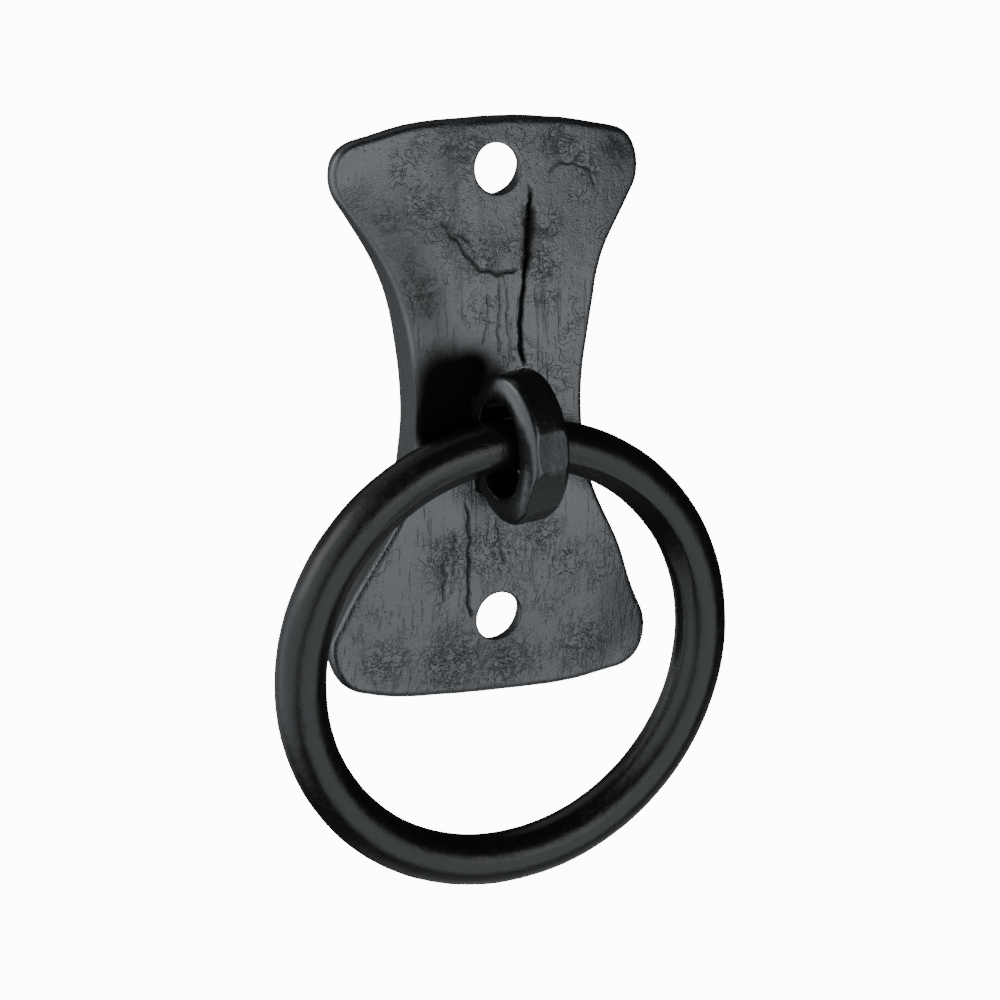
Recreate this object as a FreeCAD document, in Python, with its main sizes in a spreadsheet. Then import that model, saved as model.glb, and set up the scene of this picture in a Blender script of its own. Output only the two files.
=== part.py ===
import FreeCAD, Part
import math
import os

import Sketcher

# A forged ring knocker: a waisted back plate, a strap eye tenoned through it and a round-bar ring
# that swings in the eye.
#
# Frame: millimetres, +Z up, +X to the right as seen from the front. The plate's flat back face lies
# on y = 0 and its front faces -Y. The origin is midway between the two screw holes.

SHEET = {
    # back plate, outline
    "plate_top": (42.3, "height of the crown of the top edge above the origin"),
    "plate_bottom": (47.6, "depth of the crown of the bottom edge below the origin"),
    "waist_half": (13.9, "half width at the waist"),
    "waist_drop": (2.2, "depth of the narrowest place below the origin"),
    "waist_arc": (56.0, "radius of the hollow sides"),
    "top_half": (25.7, "half width of the upper flare"),
    "bottom_half": (26.5, "half width of the lower flare"),
    "corner_arc": (5.8, "radius of the flare corners"),
    # back plate, thickness
    "plate_thick": (7.6, "thickness at the waist"),
    "taper_top": (11.0, "height at which the upper flare starts to thin"),
    "taper_bottom": (14.5, "depth at which the lower flare starts to thin"),
    "taper_arc": (112.0, "radius of the hollow that thins a flare"),
    "edge_round": (0.9, "rounding of the plate's front edge"),
    # screw holes
    "hole_spacing": (70.0, "between the centres of the two screw holes"),
    "hole_bore": (7.8, "diameter of a screw hole"),
    # strap eye, in its own plane: reach runs straight out from its foot, rise runs up
    "eye_width": (6.4, "width of the strap"),
    "eye_foot": (8.3, "distance of the eye's foot from the door"),
    "eye_drop": (6.6, "depth of the eye's centre below the origin"),
    "eye_side": (1.2, "shift of the eye's foot to the left"),
    "eye_turn": (12.0, "lean of the eye to the right about the vertical, in degrees"),
    "eye_clock": (4.0, "turn of the eye about the plate's normal, in degrees"),
    "eye_reach": (14.8, "from the foot to the front of the eye"),
    "eye_rise": (11.85, "half height of the eye"),
    "eye_bend": (6.6, "outer radius of the eye's two bends"),
    "bend_reach": (6.1, "from the foot to the centres of the outer bends"),
    "gap_reach": (9.5, "from the foot to the inside of the eye's front"),
    "gap_rise": (7.4, "half height of the opening"),
    "gap_bend": (4.2, "inner radius of the eye's two bends"),
    "gap_bend_reach": (4.6, "from the foot to the centres of the inner bends"),
    "eye_round": (0.8, "rounding of the strap's edges"),
    "tenon_inner": (3.3, "inner face of a tenon from the eye's centre"),
    "tenon_length": (7.65, "from the foot to the tip of a tenon"),
    "slot_gap": (0.1, "clearance round a tenon in its slot"),
    # ring
    "bar_dia": (8.0, "diameter of the ring's round bar"),
    "ring_dia": (68.2, "mean diameter of the ring"),
    "ring_drop": (6.6, "depth of the bar's centre in the eye below the origin"),
    "ring_stand": (12.5, "distance of the bar's centre in the eye from the door"),
    "door_gap": (0.05, "between the resting ring and the door"),
}

doc = FreeCAD.newDocument("ring_knocker")


def make_sheet():
    """Put every driving dimension in the sheet, each under its alias."""
    sheet = doc.addObject("Spreadsheet::Sheet", "sizes")
    for row, (alias, (value, meaning)) in enumerate(SHEET.items(), start=1):
        sheet.set(f"A{row}", alias)
        sheet.set(f"B{row}", str(value))
        sheet.set(f"C{row}", meaning)
        sheet.setAlias(f"B{row}", alias)
    doc.recompute()
    return sheet


sheet = make_sheet()


def size(alias):
    """The value of one cell of the sheet."""
    return float(sheet.get(alias))


def origin_plane(body, role):
    """One of a body's own origin planes, found by its role."""
    return next(part for part in body.Origin.OriginFeatures if part.Role == role)


def new_sketch(body, name, role):
    """A sketch on one of the body's origin planes."""
    sketch = body.newObject("Sketcher::SketchObject", name)
    sketch.AttachmentSupport = [(origin_plane(body, role), "")]
    sketch.MapMode = "FlatFace"
    doc.recompute()
    return sketch


def value_of(formula):
    """The number that a formula on the sheet's aliases gives."""
    value = sheet.evalExpression(formula)
    return float(getattr(value, "Value", value))


def bound(formula):
    """The same formula with the sheet named before each alias."""
    return " ".join(f"sizes.{word}" if word in SHEET else word for word in formula.split())


def drive(sketch, kind, *where, formula):
    """Add one driving constraint whose value follows a formula on the sheet's aliases."""
    index = sketch.addConstraint(Sketcher.Constraint(kind, *where, value_of(formula)))
    sketch.setExpression(f"Constraints[{index}]", bound(formula))


def place_point(sketch, point, across=None, along=None, flip_across=False, flip_along=False):
    """Hold a point of a sketch at distances from its origin, each a formula; a flip makes one negative."""
    for kind, formula, flip in (("DistanceX", across, flip_across), ("DistanceY", along, flip_along)):
        if formula:
            where = (*point, *ORIGIN_POINT) if flip else (*ORIGIN_POINT, *point)
            drive(sketch, kind, *where, formula=formula)


def arc(centre, radius, start, end):
    """A circular arc in sketch coordinates, anticlockwise from start to end, in radians."""
    circle = Part.Circle(FreeCAD.Vector(*centre, 0), FreeCAD.Vector(0, 0, 1), radius)
    return Part.ArcOfCircle(circle, start, end)


def line(start, end):
    """A straight edge in sketch coordinates."""
    return Part.LineSegment(FreeCAD.Vector(*start, 0), FreeCAD.Vector(*end, 0))


def heading(centre, point):
    """Direction from a centre to a point, in radians, from 0 up to a full turn."""
    return math.atan2(point[1] - centre[1], point[0] - centre[0]) % (2 * math.pi)


def crown_arc_radius(reach, rise, bend):
    """Radius of the arc that crowns an end between two bends of a smaller radius.

    The crown stands reach beyond the bends' centres, which lie rise to either side of the middle.
    """
    return (reach**2 + rise**2 - bend**2) / (2 * (reach - bend))


def finish_feature(body, feature, name):
    """Recompute, make the feature the body's tip and check that it worked."""
    feature.Label = name
    body.Tip = feature
    doc.recompute()
    if "Invalid" in feature.State or not feature.Shape.isValid():
        raise RuntimeError(f"{name} failed")
    return feature


START, END, CENTRE = 1, 2, 3
ORIGIN_POINT = (-1, 1)
VERTICAL_AXIS = -2
HORIZONTAL_AXIS = -1


# --- back plate -----------------------------------------------------------------------------------


def outline_plate(body):
    """Sketch the bow-tie outline: two hollow sides, two crowned ends and four round corners."""
    sketch = new_sketch(body, "plate_outline", "XZ_Plane")
    corner = size("corner_arc")
    waist_radius = size("waist_arc")
    waist = (size("waist_half") + waist_radius, -size("waist_drop"))

    def corner_centre(half, up):
        across = half - corner
        rise = math.sqrt((waist_radius + corner) ** 2 - (waist[0] - across) ** 2)
        return across, waist[1] + up * rise

    ends = {}
    for up, half, crown in ((1, "top_half", "plate_top"), (-1, "bottom_half", "plate_bottom")):
        across, along = corner_centre(size(half), up)
        radius = crown_arc_radius(up * (up * size(crown) - along), across, corner)
        ends[up] = ((across, along), (0.0, up * (size(crown) - radius)), radius)

    side = {1: waist, -1: (-waist[0], waist[1])}
    edges = []
    order = ((1, 1), (-1, 1), (-1, -1), (1, -1))
    for right, up in order:
        (across, along), crown_centre, crown_radius = ends[up]
        centre = (right * across, along)
        to_side = heading(centre, side[right])
        to_crown = heading(crown_centre, centre)
        first, last = (to_side, to_crown) if right == up else (to_crown, to_side)
        if last < first:
            last += 2 * math.pi
        edges.append(arc(centre, corner, first, last))
    corners = sketch.addGeometry(edges, False)

    crowns, sides = {}, {}
    for up in (1, -1):
        (across, along), crown_centre, crown_radius = ends[up]
        first = heading(crown_centre, (up * across, along))
        last = heading(crown_centre, (-up * across, along))
        crowns[up] = sketch.addGeometry(arc(crown_centre, crown_radius, first, last), False)
    for right in (1, -1):
        upper = heading(side[right], (right * ends[1][0][0], ends[1][0][1]))
        lower = heading(side[right], (right * ends[-1][0][0], ends[-1][0][1]))
        first, last = (upper, lower) if right == 1 else (lower - 2 * math.pi, upper)
        sides[right] = sketch.addGeometry(arc(side[right], waist_radius, first, last), False)

    for (right, up), edge in zip(order, corners):
        at_side, at_crown = (START, END) if right == up else (END, START)
        side_end = START if right == up else END
        crown_end = START if right == up else END
        tangent = Sketcher.Constraint("Tangent", edge, at_side, sides[right], side_end)
        sketch.addConstraint(tangent)
        sketch.addConstraint(Sketcher.Constraint("Tangent", edge, at_crown, crowns[up], crown_end))
        drive(sketch, "Radius", edge, formula="corner_arc")
    for right in (1, -1):
        drive(sketch, "Radius", sides[right], formula="waist_arc")
        place_point(sketch, (sides[right], CENTRE), across="waist_half + waist_arc", along="waist_drop",
                    flip_across=right < 0, flip_along=True)
    for up, half, crown in ((1, "top_half", "plate_top"), (-1, "bottom_half", "plate_bottom")):
        sketch.addConstraint(Sketcher.Constraint("PointOnObject", crowns[up], CENTRE, VERTICAL_AXIS))
        peak = sketch.addGeometry(Part.Point(FreeCAD.Vector(0, up * size(crown), 0)), True)
        sketch.addConstraint(Sketcher.Constraint("PointOnObject", peak, START, VERTICAL_AXIS))
        sketch.addConstraint(Sketcher.Constraint("PointOnObject", peak, START, crowns[up]))
        place_point(sketch, (peak, START), along=crown, flip_along=up < 0)
        right_corner = corners[0] if up == 1 else corners[3]
        place_point(sketch, (right_corner, CENTRE), across=f"{half} - corner_arc")
    doc.recompute()
    return sketch


def thin_the_flares(body):
    """Sketch, in side view, what is forged away in front of the two flares, and cut it."""
    sketch = new_sketch(body, "flare_thinning", "YZ_Plane")
    radius = size("taper_arc")
    front = -size("plate_thick")
    spare = 1.0
    for up, start, crown in ((1, "taper_top", "plate_top"), (-1, "taper_bottom", "plate_bottom")):
        foot = (front, up * size(start))
        centre = (front + radius, foot[1])
        tip_rise = size(crown) + spare - size(start)
        tip = (centre[0] - math.sqrt(radius**2 - tip_rise**2), foot[1] + up * tip_rise)
        first, last = heading(centre, tip), heading(centre, foot)
        if up < 0:
            first, last = last, first
        outer_foot, outer_tip = (front - spare, foot[1]), (front - spare, tip[1])
        hollow, *sides = sketch.addGeometry(
            [arc(centre, radius, first, last), line(foot, outer_foot), line(outer_foot, outer_tip),
             line(outer_tip, tip)], False)
        foot_end, tip_end = (END, START) if up > 0 else (START, END)
        for one, one_end, other, other_end in (
                (hollow, foot_end, sides[0], START), (sides[0], END, sides[1], START),
                (sides[1], END, sides[2], START), (sides[2], END, hollow, tip_end)):
            sketch.addConstraint(Sketcher.Constraint("Coincident", one, one_end, other, other_end))
        sketch.addConstraint(Sketcher.Constraint("Horizontal", sides[0]))
        sketch.addConstraint(Sketcher.Constraint("Vertical", sides[1]))
        sketch.addConstraint(Sketcher.Constraint("Horizontal", sides[2]))
        drive(sketch, "Radius", hollow, formula="taper_arc")
        place_point(sketch, (hollow, CENTRE), across="taper_arc - plate_thick", along=start,
                    flip_along=up < 0)
        place_point(sketch, (sides[0], START), along=start, flip_along=up < 0)
        place_point(sketch, (sides[1], END), across=f"plate_thick + {spare}",
                    along=f"{crown} + {spare}", flip_across=True, flip_along=up < 0)
    doc.recompute()
    cut = body.newObject("PartDesign::Pocket", "flare_cut")
    cut.Profile = sketch
    cut.SideType = "Symmetric"
    cut.setExpression("Length", bound("bottom_half * 4"))
    return finish_feature(body, cut, "flare_cut")


def front_outline_edges(shape):
    """Names of the edges between the plate's front and its sides, for rounding."""
    names = []
    behind_front = -1.0
    for number, edge in enumerate(shape.Edges, start=1):
        ends = [vertex.Point for vertex in edge.Vertexes]
        on_front = all(point.y < behind_front for point in ends)
        across = abs(ends[0].z - ends[-1].z) < 1e-6 and abs(ends[0].y - ends[-1].y) < 1e-6
        straight = edge.Curve.TypeId == "Part::GeomLine"
        if on_front and not (straight and across):
            names.append(f"Edge{number}")
    return names


def build_plate():
    """Forge the plate blank: padded outline, thinned flares, rounded front edge, screw holes."""
    body = doc.addObject("PartDesign::Body", "plate_blank")
    outline = outline_plate(body)
    pad = body.newObject("PartDesign::Pad", "plate_pad")
    pad.Profile = outline
    pad.setExpression("Length", bound("plate_thick"))
    finish_feature(body, pad, "plate_pad")
    full = pad.Shape.Volume
    cut = thin_the_flares(body)
    if cut.Shape.Volume >= full:
        raise RuntimeError("the flares were not thinned")

    rounding = body.newObject("PartDesign::Fillet", "front_rounding")
    rounding.Base = (cut, front_outline_edges(cut.Shape))
    rounding.setExpression("Radius", bound("edge_round"))
    finish_feature(body, rounding, "front_rounding")

    holes = new_sketch(body, "screw_holes", "XZ_Plane")
    for up in (1, -1):
        middle = FreeCAD.Vector(0, up * size("hole_spacing") / 2, 0)
        circle = holes.addGeometry(
            Part.Circle(middle, FreeCAD.Vector(0, 0, 1), size("hole_bore") / 2), False)
        holes.addConstraint(Sketcher.Constraint("PointOnObject", circle, CENTRE, VERTICAL_AXIS))
        place_point(holes, (circle, CENTRE), along="hole_spacing / 2", flip_along=up < 0)
        drive(holes, "Diameter", circle, formula="hole_bore")
    doc.recompute()
    before = rounding.Shape.Volume
    drill = body.newObject("PartDesign::Pocket", "screw_hole_cut")
    drill.Profile = holes
    drill.Type = "ThroughAll"
    drill.Reversed = True
    finish_feature(body, drill, "screw_hole_cut")
    if drill.Shape.Volume >= before - 1:
        raise RuntimeError("the screw holes were not cut")
    return body


EYE_PLACE = (
    "create(<<placement>>; create(<<vector>>; -sizes.eye_side; -sizes.eye_foot; -sizes.eye_drop);"
    " create(<<rotation>>; sizes.eye_turn; -sizes.eye_clock; 0))"
)
TENON_OUTER = "eye_rise - eye_bend + sqrt( eye_bend ^ 2 - bend_reach ^ 2 )"


def cut_slots(blank):
    """Cut the two slots that the eye's tenons pass through, square to the eye and not to the plate."""
    punches = []
    for up in (1, -1):
        punch = doc.addObject("Part::Box", "upper_punch" if up > 0 else "lower_punch")
        punch.setExpression("Length", bound("eye_width + 2 * slot_gap"))
        punch.setExpression("Width", bound("plate_thick * 3"))
        punch.setExpression("Height", bound(f"{TENON_OUTER} - tenon_inner + 2 * slot_gap"))
        low = bound("tenon_inner - slot_gap")
        if up < 0:
            low = "-( " + bound(f"{TENON_OUTER} + slot_gap") + " )"
        corner = (f"create(<<placement>>; create(<<vector>>; {bound('-0.5 * eye_width - slot_gap')};"
                  f" {bound('-1 * plate_thick')}; {low}); create(<<rotation>>; 0; 0; 0))")
        punch.setExpression("Placement", f"{EYE_PLACE} * {corner}")
        punches.append(punch)
    tools = doc.addObject("Part::MultiFuse", "slot_punches")
    tools.Shapes = punches
    plate = doc.addObject("Part::Cut", "back_plate")
    plate.Base = blank
    plate.Tool = tools
    plate.Label = "back_plate"
    doc.recompute()
    return plate


# --- strap eye ------------------------------------------------------------------------------------


def outline_eye(body):
    """Sketch the eye from the side: a crowned loop, open to the back between two straight tenons."""
    sketch = new_sketch(body, "eye_outline", "YZ_Plane")

    def loop_arcs(reach, rise, bend, bend_reach):
        """Radius of the front arc, and the centres of the front arc and of the upper bend."""
        offset = size(rise) - size(bend)
        front = crown_arc_radius(size(reach) - size(bend_reach), offset, size(bend))
        return front, (front - size(reach), 0.0), (-size(bend_reach), offset)

    loops = (("eye_reach", "eye_rise", "eye_bend", "bend_reach"),
             ("gap_reach", "gap_rise", "gap_bend", "gap_bend_reach"))
    tenon_tip = size("tenon_length")
    tenon_inner = size("tenon_inner")
    foot_rise = value_of(TENON_OUTER)
    edges = {}
    for names, foot in zip(loops, ((0.0, foot_rise), (None, tenon_inner))):
        front, front_centre, upper = loop_arcs(*names)
        lower = (upper[0], -upper[1])
        bend = size(names[2])
        if foot[0] is None:
            foot = (upper[0] + math.sqrt(bend**2 - (tenon_inner - upper[1]) ** 2), tenon_inner)
        under = (foot[0], -foot[1])
        full = 2 * math.pi
        first, last = heading(front_centre, upper), heading(front_centre, lower)
        rise_first, fall_last = heading(upper, foot), heading(lower, under)
        bends = sketch.addGeometry([
            arc(upper, bend, rise_first - full if rise_first > first else rise_first, first),
            arc(front_centre, front, first, last),
            arc(lower, bend, last, fall_last + full if fall_last < last else fall_last)], False)
        tenons = sketch.addGeometry(
            [line(foot, (tenon_tip, foot[1])), line(under, (tenon_tip, under[1]))], False)
        for one, one_end, other, other_end in (
                (bends[0], END, bends[1], START), (bends[1], END, bends[2], START)):
            sketch.addConstraint(Sketcher.Constraint("Tangent", one, one_end, other, other_end))
        sketch.addConstraint(Sketcher.Constraint("Coincident", bends[0], START, tenons[0], START))
        sketch.addConstraint(Sketcher.Constraint("Coincident", bends[2], END, tenons[1], START))
        reach, rise, bend_name, bend_reach = names
        for bend_edge, flip in ((bends[0], False), (bends[2], True)):
            drive(sketch, "Radius", bend_edge, formula=bend_name)
            place_point(sketch, (bend_edge, CENTRE), across=bend_reach, along=f"{rise} - {bend_name}",
                        flip_across=True, flip_along=flip)
        peak = sketch.addGeometry(Part.Point(FreeCAD.Vector(-size(reach), 0, 0)), True)
        sketch.addConstraint(Sketcher.Constraint("PointOnObject", peak, START, HORIZONTAL_AXIS))
        sketch.addConstraint(Sketcher.Constraint("PointOnObject", peak, START, bends[1]))
        place_point(sketch, (peak, START), across=reach, flip_across=True)
        for tenon in tenons:
            sketch.addConstraint(Sketcher.Constraint("Horizontal", tenon))
            place_point(sketch, (tenon, END), across="tenon_length")
        edges[reach] = (bends, tenons)

    outer, inner = edges["eye_reach"], edges["gap_reach"]
    for tenon in outer[1]:
        sketch.addConstraint(Sketcher.Constraint("PointOnObject", tenon, START, VERTICAL_AXIS))
    for tenon, flip in zip(inner[1], (False, True)):
        place_point(sketch, (tenon, END), along="tenon_inner", flip_along=flip)
    for up, (outside, inside) in zip((1, -1), zip(outer[1], inner[1])):
        tip = sketch.addGeometry(
            line((tenon_tip, up * foot_rise), (tenon_tip, up * tenon_inner)), False)
        sketch.addConstraint(Sketcher.Constraint("Coincident", outside, END, tip, START))
        sketch.addConstraint(Sketcher.Constraint("Coincident", inside, END, tip, END))
    doc.recompute()
    return sketch


def long_edges(shape):
    """Names of the edges along the strap's four corners in front of its foot."""
    names = []
    for number, edge in enumerate(shape.Edges, start=1):
        ends = [vertex.Point for vertex in edge.Vertexes]
        in_one_side = abs(ends[0].x - ends[-1].x) < 1e-6
        before_foot = all(point.y < 0.5 for point in ends)
        if in_one_side and before_foot and edge.Curve.TypeId == "Part::GeomCircle":
            names.append(f"Edge{number}")
    return names


def build_eye():
    """Make the eye: its outline padded to the strap's width, with the long edges rounded."""
    body = doc.addObject("PartDesign::Body", "strap_eye")
    body.Label = "strap_eye"
    pad = body.newObject("PartDesign::Pad", "eye_pad")
    pad.Profile = outline_eye(body)
    pad.SideType = "Symmetric"
    pad.setExpression("Length", bound("eye_width"))
    finish_feature(body, pad, "eye_pad")
    rounding = body.newObject("PartDesign::Fillet", "eye_rounding")
    rounding.Base = (pad, long_edges(pad.Shape))
    rounding.setExpression("Radius", bound("eye_round"))
    finish_feature(body, rounding, "eye_rounding")
    body.setExpression("Placement", EYE_PLACE)
    return body


# --- ring -----------------------------------------------------------------------------------------


def build_ring():
    """Revolve the round bar about the ring's centre, and hang it in the eye leaning on the door."""
    body = doc.addObject("PartDesign::Body", "knocker_ring")
    body.Label = "knocker_ring"
    sketch = new_sketch(body, "bar_section", "YZ_Plane")
    section = sketch.addGeometry(
        Part.Circle(FreeCAD.Vector(0, size("ring_dia") / 2, 0), FreeCAD.Vector(0, 0, 1),
                    size("bar_dia") / 2), False)
    drive(sketch, "Diameter", section, formula="bar_dia")
    sketch.addConstraint(Sketcher.Constraint("PointOnObject", section, CENTRE, VERTICAL_AXIS))
    place_point(sketch, (section, CENTRE), along="ring_dia / 2")
    doc.recompute()
    turn = body.newObject("PartDesign::Revolution", "ring_turn")
    turn.Profile = sketch
    turn.ReferenceAxis = (sketch, ["H_Axis"])
    turn.Angle = 360.0
    finish_feature(body, turn, "ring_turn")
    lean = "asin(" + bound("( ring_stand - bar_dia / 2 - door_gap ) / ring_dia") + ")"
    body.setExpression("Placement", (
        f"create(<<placement>>; create(<<vector>>; 0; {bound('ring_dia / 2')} * sin({lean})"
        f" - {bound('ring_stand')}; -{bound('ring_drop')} - {bound('ring_dia / 2')} * cos({lean}));"
        f" create(<<rotation>>; 0; 0; {lean}))"))
    doc.recompute()
    return body


# --- build, check and write -----------------------------------------------------------------------


def check_document(pieces):
    """Stop if any object failed or any piece's shape is missing, invalid or not one solid."""
    for item in doc.Objects:
        if "Invalid" in item.State or "Error" in item.State:
            raise RuntimeError(f"{item.Name} failed: {item.State}")
        if item.TypeId == "Sketcher::SketchObject" and not item.FullyConstrained:
            raise RuntimeError(f"{item.Name} is not fully constrained")
    for piece in pieces:
        shape = piece.Shape
        if shape.isNull() or not shape.isValid() or len(shape.Solids) != 1:
            raise RuntimeError(f"{piece.Label} has no single valid solid")


plate = cut_slots(build_plate())
eye = build_eye()
ring = build_ring()
doc.recompute()
PIECES = (plate, eye, ring)
check_document(PIECES)

os.makedirs("parts", exist_ok=True)
for piece in PIECES:
    piece.Shape.exportStep(f"parts/{piece.Label}.step")
    box = piece.Shape.BoundBox
    print(f"{piece.Label}: {box.XLength:.1f} x {box.YLength:.1f} x {box.ZLength:.1f} mm, "
          f"{piece.Shape.Volume:.0f} mm3")
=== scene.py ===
"""A forged ring knocker dressed as black-painted blacksmith's work: plate, strap eye and ring."""

import logging
import math
from dataclasses import dataclass, field
from enum import Enum
from typing import Iterable, Sequence

import bmesh
import bpy
import numpy as np
from mathutils import Matrix, Vector
from mathutils.geometry import delaunay_2d_cdt

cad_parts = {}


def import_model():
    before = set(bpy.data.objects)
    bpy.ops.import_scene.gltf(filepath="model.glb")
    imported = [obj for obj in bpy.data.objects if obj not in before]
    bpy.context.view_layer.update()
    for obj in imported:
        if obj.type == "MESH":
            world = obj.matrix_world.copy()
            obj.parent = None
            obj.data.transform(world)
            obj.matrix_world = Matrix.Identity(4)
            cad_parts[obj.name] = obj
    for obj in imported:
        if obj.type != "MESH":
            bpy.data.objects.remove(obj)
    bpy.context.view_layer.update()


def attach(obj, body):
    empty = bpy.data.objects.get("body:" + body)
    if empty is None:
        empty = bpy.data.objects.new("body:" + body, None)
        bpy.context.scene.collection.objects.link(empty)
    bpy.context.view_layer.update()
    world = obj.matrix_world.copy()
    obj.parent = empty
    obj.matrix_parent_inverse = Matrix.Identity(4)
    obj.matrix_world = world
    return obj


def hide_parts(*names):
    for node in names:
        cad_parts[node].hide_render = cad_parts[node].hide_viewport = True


log = logging.getLogger("ring_knocker")

MM = 0.001
SAME_PLACE = 1e-7
LOOP_POINTS = 72
CORNER_POINTS = 40
ARC_STEP = 0.33
Points = np.ndarray


class End(Enum):
    """Upper or lower flare of the plate."""

    TOP = 1
    BOTTOM = -1


# --- shaping by hammer ----------------------------------------------------------------------------


class HammerNoise:
    """Smooth seeded noise in space, for the unevenness that a hammer leaves."""

    LATTICE = 64

    def __init__(self, seed: int) -> None:
        """Fill the lattice.

        Args:
            seed: fixes the pattern.
        """
        rng = np.random.default_rng(seed)
        self.values = rng.uniform(-1.0, 1.0, (self.LATTICE,) * 3)

    def at(self, points: Points, cell: float) -> Points:
        """Sample the noise.

        Args:
            points: rows of x, y, z in millimetres.
            cell: size of one lump, in millimetres.

        Returns:
            One value from -1 to 1 for each row.
        """
        scaled = points / cell
        low = np.floor(scaled).astype(int)
        part = scaled - low
        part = part * part * (3.0 - 2.0 * part)
        total = np.zeros(len(points))
        for corner in range(8):
            step = np.array([corner & 1, corner >> 1 & 1, corner >> 2 & 1])
            index = (low + step) % self.LATTICE
            weight = np.prod(np.where(step, part, 1.0 - part), axis=1)
            total += weight * self.values[index[:, 0], index[:, 1], index[:, 2]]
        return total

    def lumps(self, points: Points, cell: float, octaves: int = 3) -> Points:
        """Add finer noise to coarse noise.

        Args:
            points: rows of x, y, z in millimetres.
            cell: size of the largest lumps, in millimetres.
            octaves: how many times the size is halved.

        Returns:
            One value for each row, about -1 to 1.
        """
        total = np.zeros(len(points))
        for octave in range(octaves):
            total += self.at(points + 17.3 * octave, cell / 2**octave) / 2**octave
        return total / (2.0 - 2.0 ** (1 - octaves))


@dataclass(frozen=True)
class Ripple:
    """One size of unevenness: its depth and lump size in millimetres, and where it is read."""

    depth: float
    cell: float
    octaves: int = 2
    shift: float = 0.0

    def over(self, noise: HammerNoise, points: Points) -> Points:
        """How far it moves the surface at each point."""
        return self.depth * noise.lumps(points + self.shift, self.cell, self.octaves)


def upright(places: Points, y: float = 0.0) -> Points:
    """Rows of x, y, z from rows of x, z, all at one y."""
    return np.column_stack((places[:, 0], np.full(len(places), y), places[:, 1]))


def above_zero(value: Points, blend: float) -> Points:
    """The value where it is above 0, and 0 where it is below, blended smoothly between them."""
    return 0.5 * (value + np.sqrt(value**2 + blend))


def smooth_step(value: Points, low: float, high: float) -> Points:
    """0 below low, 1 above high and a smooth ramp between them."""
    part = np.clip((value - low) / (high - low), 0.0, 1.0)
    return part * part * (3.0 - 2.0 * part)


def distance_to_path(points: Points, path: Points, closed: bool = False) -> tuple[Points, Points]:
    """Measure how far points are from a path of straight pieces.

    Args:
        points: rows of two coordinates.
        path: the path's points, rows of two coordinates.
        closed: whether the last point joins the first.

    Returns:
        The distance, and the place along the path from 0 to 1, for each row.
    """
    ends = np.roll(path, -1, axis=0) if closed else path[1:]
    starts = path if closed else path[:-1]
    run = ends - starts
    lengths = np.maximum(np.einsum("ij,ij->i", run, run), 1e-12)
    best = np.full(len(points), np.inf)
    place = np.zeros(len(points))
    for number, (start, piece, length) in enumerate(zip(starts, run, lengths)):
        offset = points - start
        along = np.clip(offset @ piece / length, 0.0, 1.0)
        gap = offset - along[:, None] * piece
        squared = np.einsum("ij,ij->i", gap, gap)
        nearer = squared < best
        best[nearer] = squared[nearer]
        place[nearer] = (number + along[nearer]) / len(starts)
    return np.sqrt(best), place


def strike_flats(points: Points, flats: Iterable["Flat"]) -> Points:
    """Press points that stand above each flat's plane down onto it.

    Args:
        points: rows of x, y, z in millimetres.
        flats: the flats, struck in order.

    Returns:
        The moved points.
    """
    for flat in flats:
        normal = np.array(flat.normal) / np.linalg.norm(flat.normal)
        proud = points @ normal - flat.offset
        points = points - np.outer(np.maximum(proud, 0.0), normal)
    return points


@dataclass(frozen=True)
class Flat:
    """A flat left by the hammer: its plane's outward normal and its distance from the centre."""

    normal: tuple[float, float, float]
    offset: float


@dataclass(frozen=True)
class Groove:
    """A crack or chisel line in the plate's front, along a path of x, z places."""

    path: tuple[tuple[float, float], ...]
    width: float
    depth: float

    def cut(self, places: Points) -> Points:
        """Depth of the groove at each place.

        Args:
            places: rows of x, z in millimetres.

        Returns:
            Depth in millimetres for each row.
        """
        gap, along = distance_to_path(places, np.array(self.path))
        fade = smooth_step(along, 0.0, 0.12) * (1.0 - smooth_step(along, 0.9, 1.0))
        return self.depth * fade * np.exp(-((gap / self.width) ** 2))


# --- meshes ---------------------------------------------------------------------------------------


def solid_mesh(name: str, points: Points, faces: Sequence[Sequence[int]]) -> bpy.types.Object:
    """Make an object of a closed shape, with doubles merged and faces turned outwards.

    Args:
        name: the piece's name.
        points: rows of x, y, z in millimetres.
        faces: corner numbers of each face.

    Returns:
        The object, at the origin, linked to the scene.
    """
    mesh = bpy.data.meshes.new(name)
    mesh.from_pydata((points * MM).tolist(), [], [list(face) for face in faces])
    return finished_piece(mesh)


def finished_piece(mesh: bpy.types.Mesh) -> bpy.types.Object:
    """Merge a closed mesh's doubles, turn its faces outwards and put it in the scene.

    Args:
        mesh: the mesh, already named.

    Returns:
        An object of the same name, at the origin.
    """
    shape = bmesh.new()
    shape.from_mesh(mesh)
    bmesh.ops.remove_doubles(shape, verts=shape.verts, dist=SAME_PLACE)
    bmesh.ops.recalc_face_normals(shape, faces=shape.faces)
    shape.to_mesh(mesh)
    shape.free()
    mesh.shade_smooth()
    return in_scene(mesh.name, mesh)


def in_scene(name: str, data: bpy.types.ID) -> bpy.types.Object:
    """Make an object of a mesh, light or camera, and link it to the scene.

    Args:
        name: the object's name.
        data: what it holds.

    Returns:
        The object, at the origin.
    """
    made = bpy.data.objects.new(name, data)
    bpy.context.scene.collection.objects.link(made)
    return made


def tube_faces(rows: int, around: int) -> list[tuple[int, int, int, int]]:
    """Quads between neighbouring rings of points, each ring closed.

    Args:
        rows: how many rings.
        around: points in a ring.

    Returns:
        The quads.
    """
    quads = []
    for row in range(rows - 1):
        for step in range(around):
            after = (step + 1) % around
            low, high = row * around, (row + 1) * around
            quads.append((low + step, low + after, high + after, high + step))
    return quads


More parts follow.
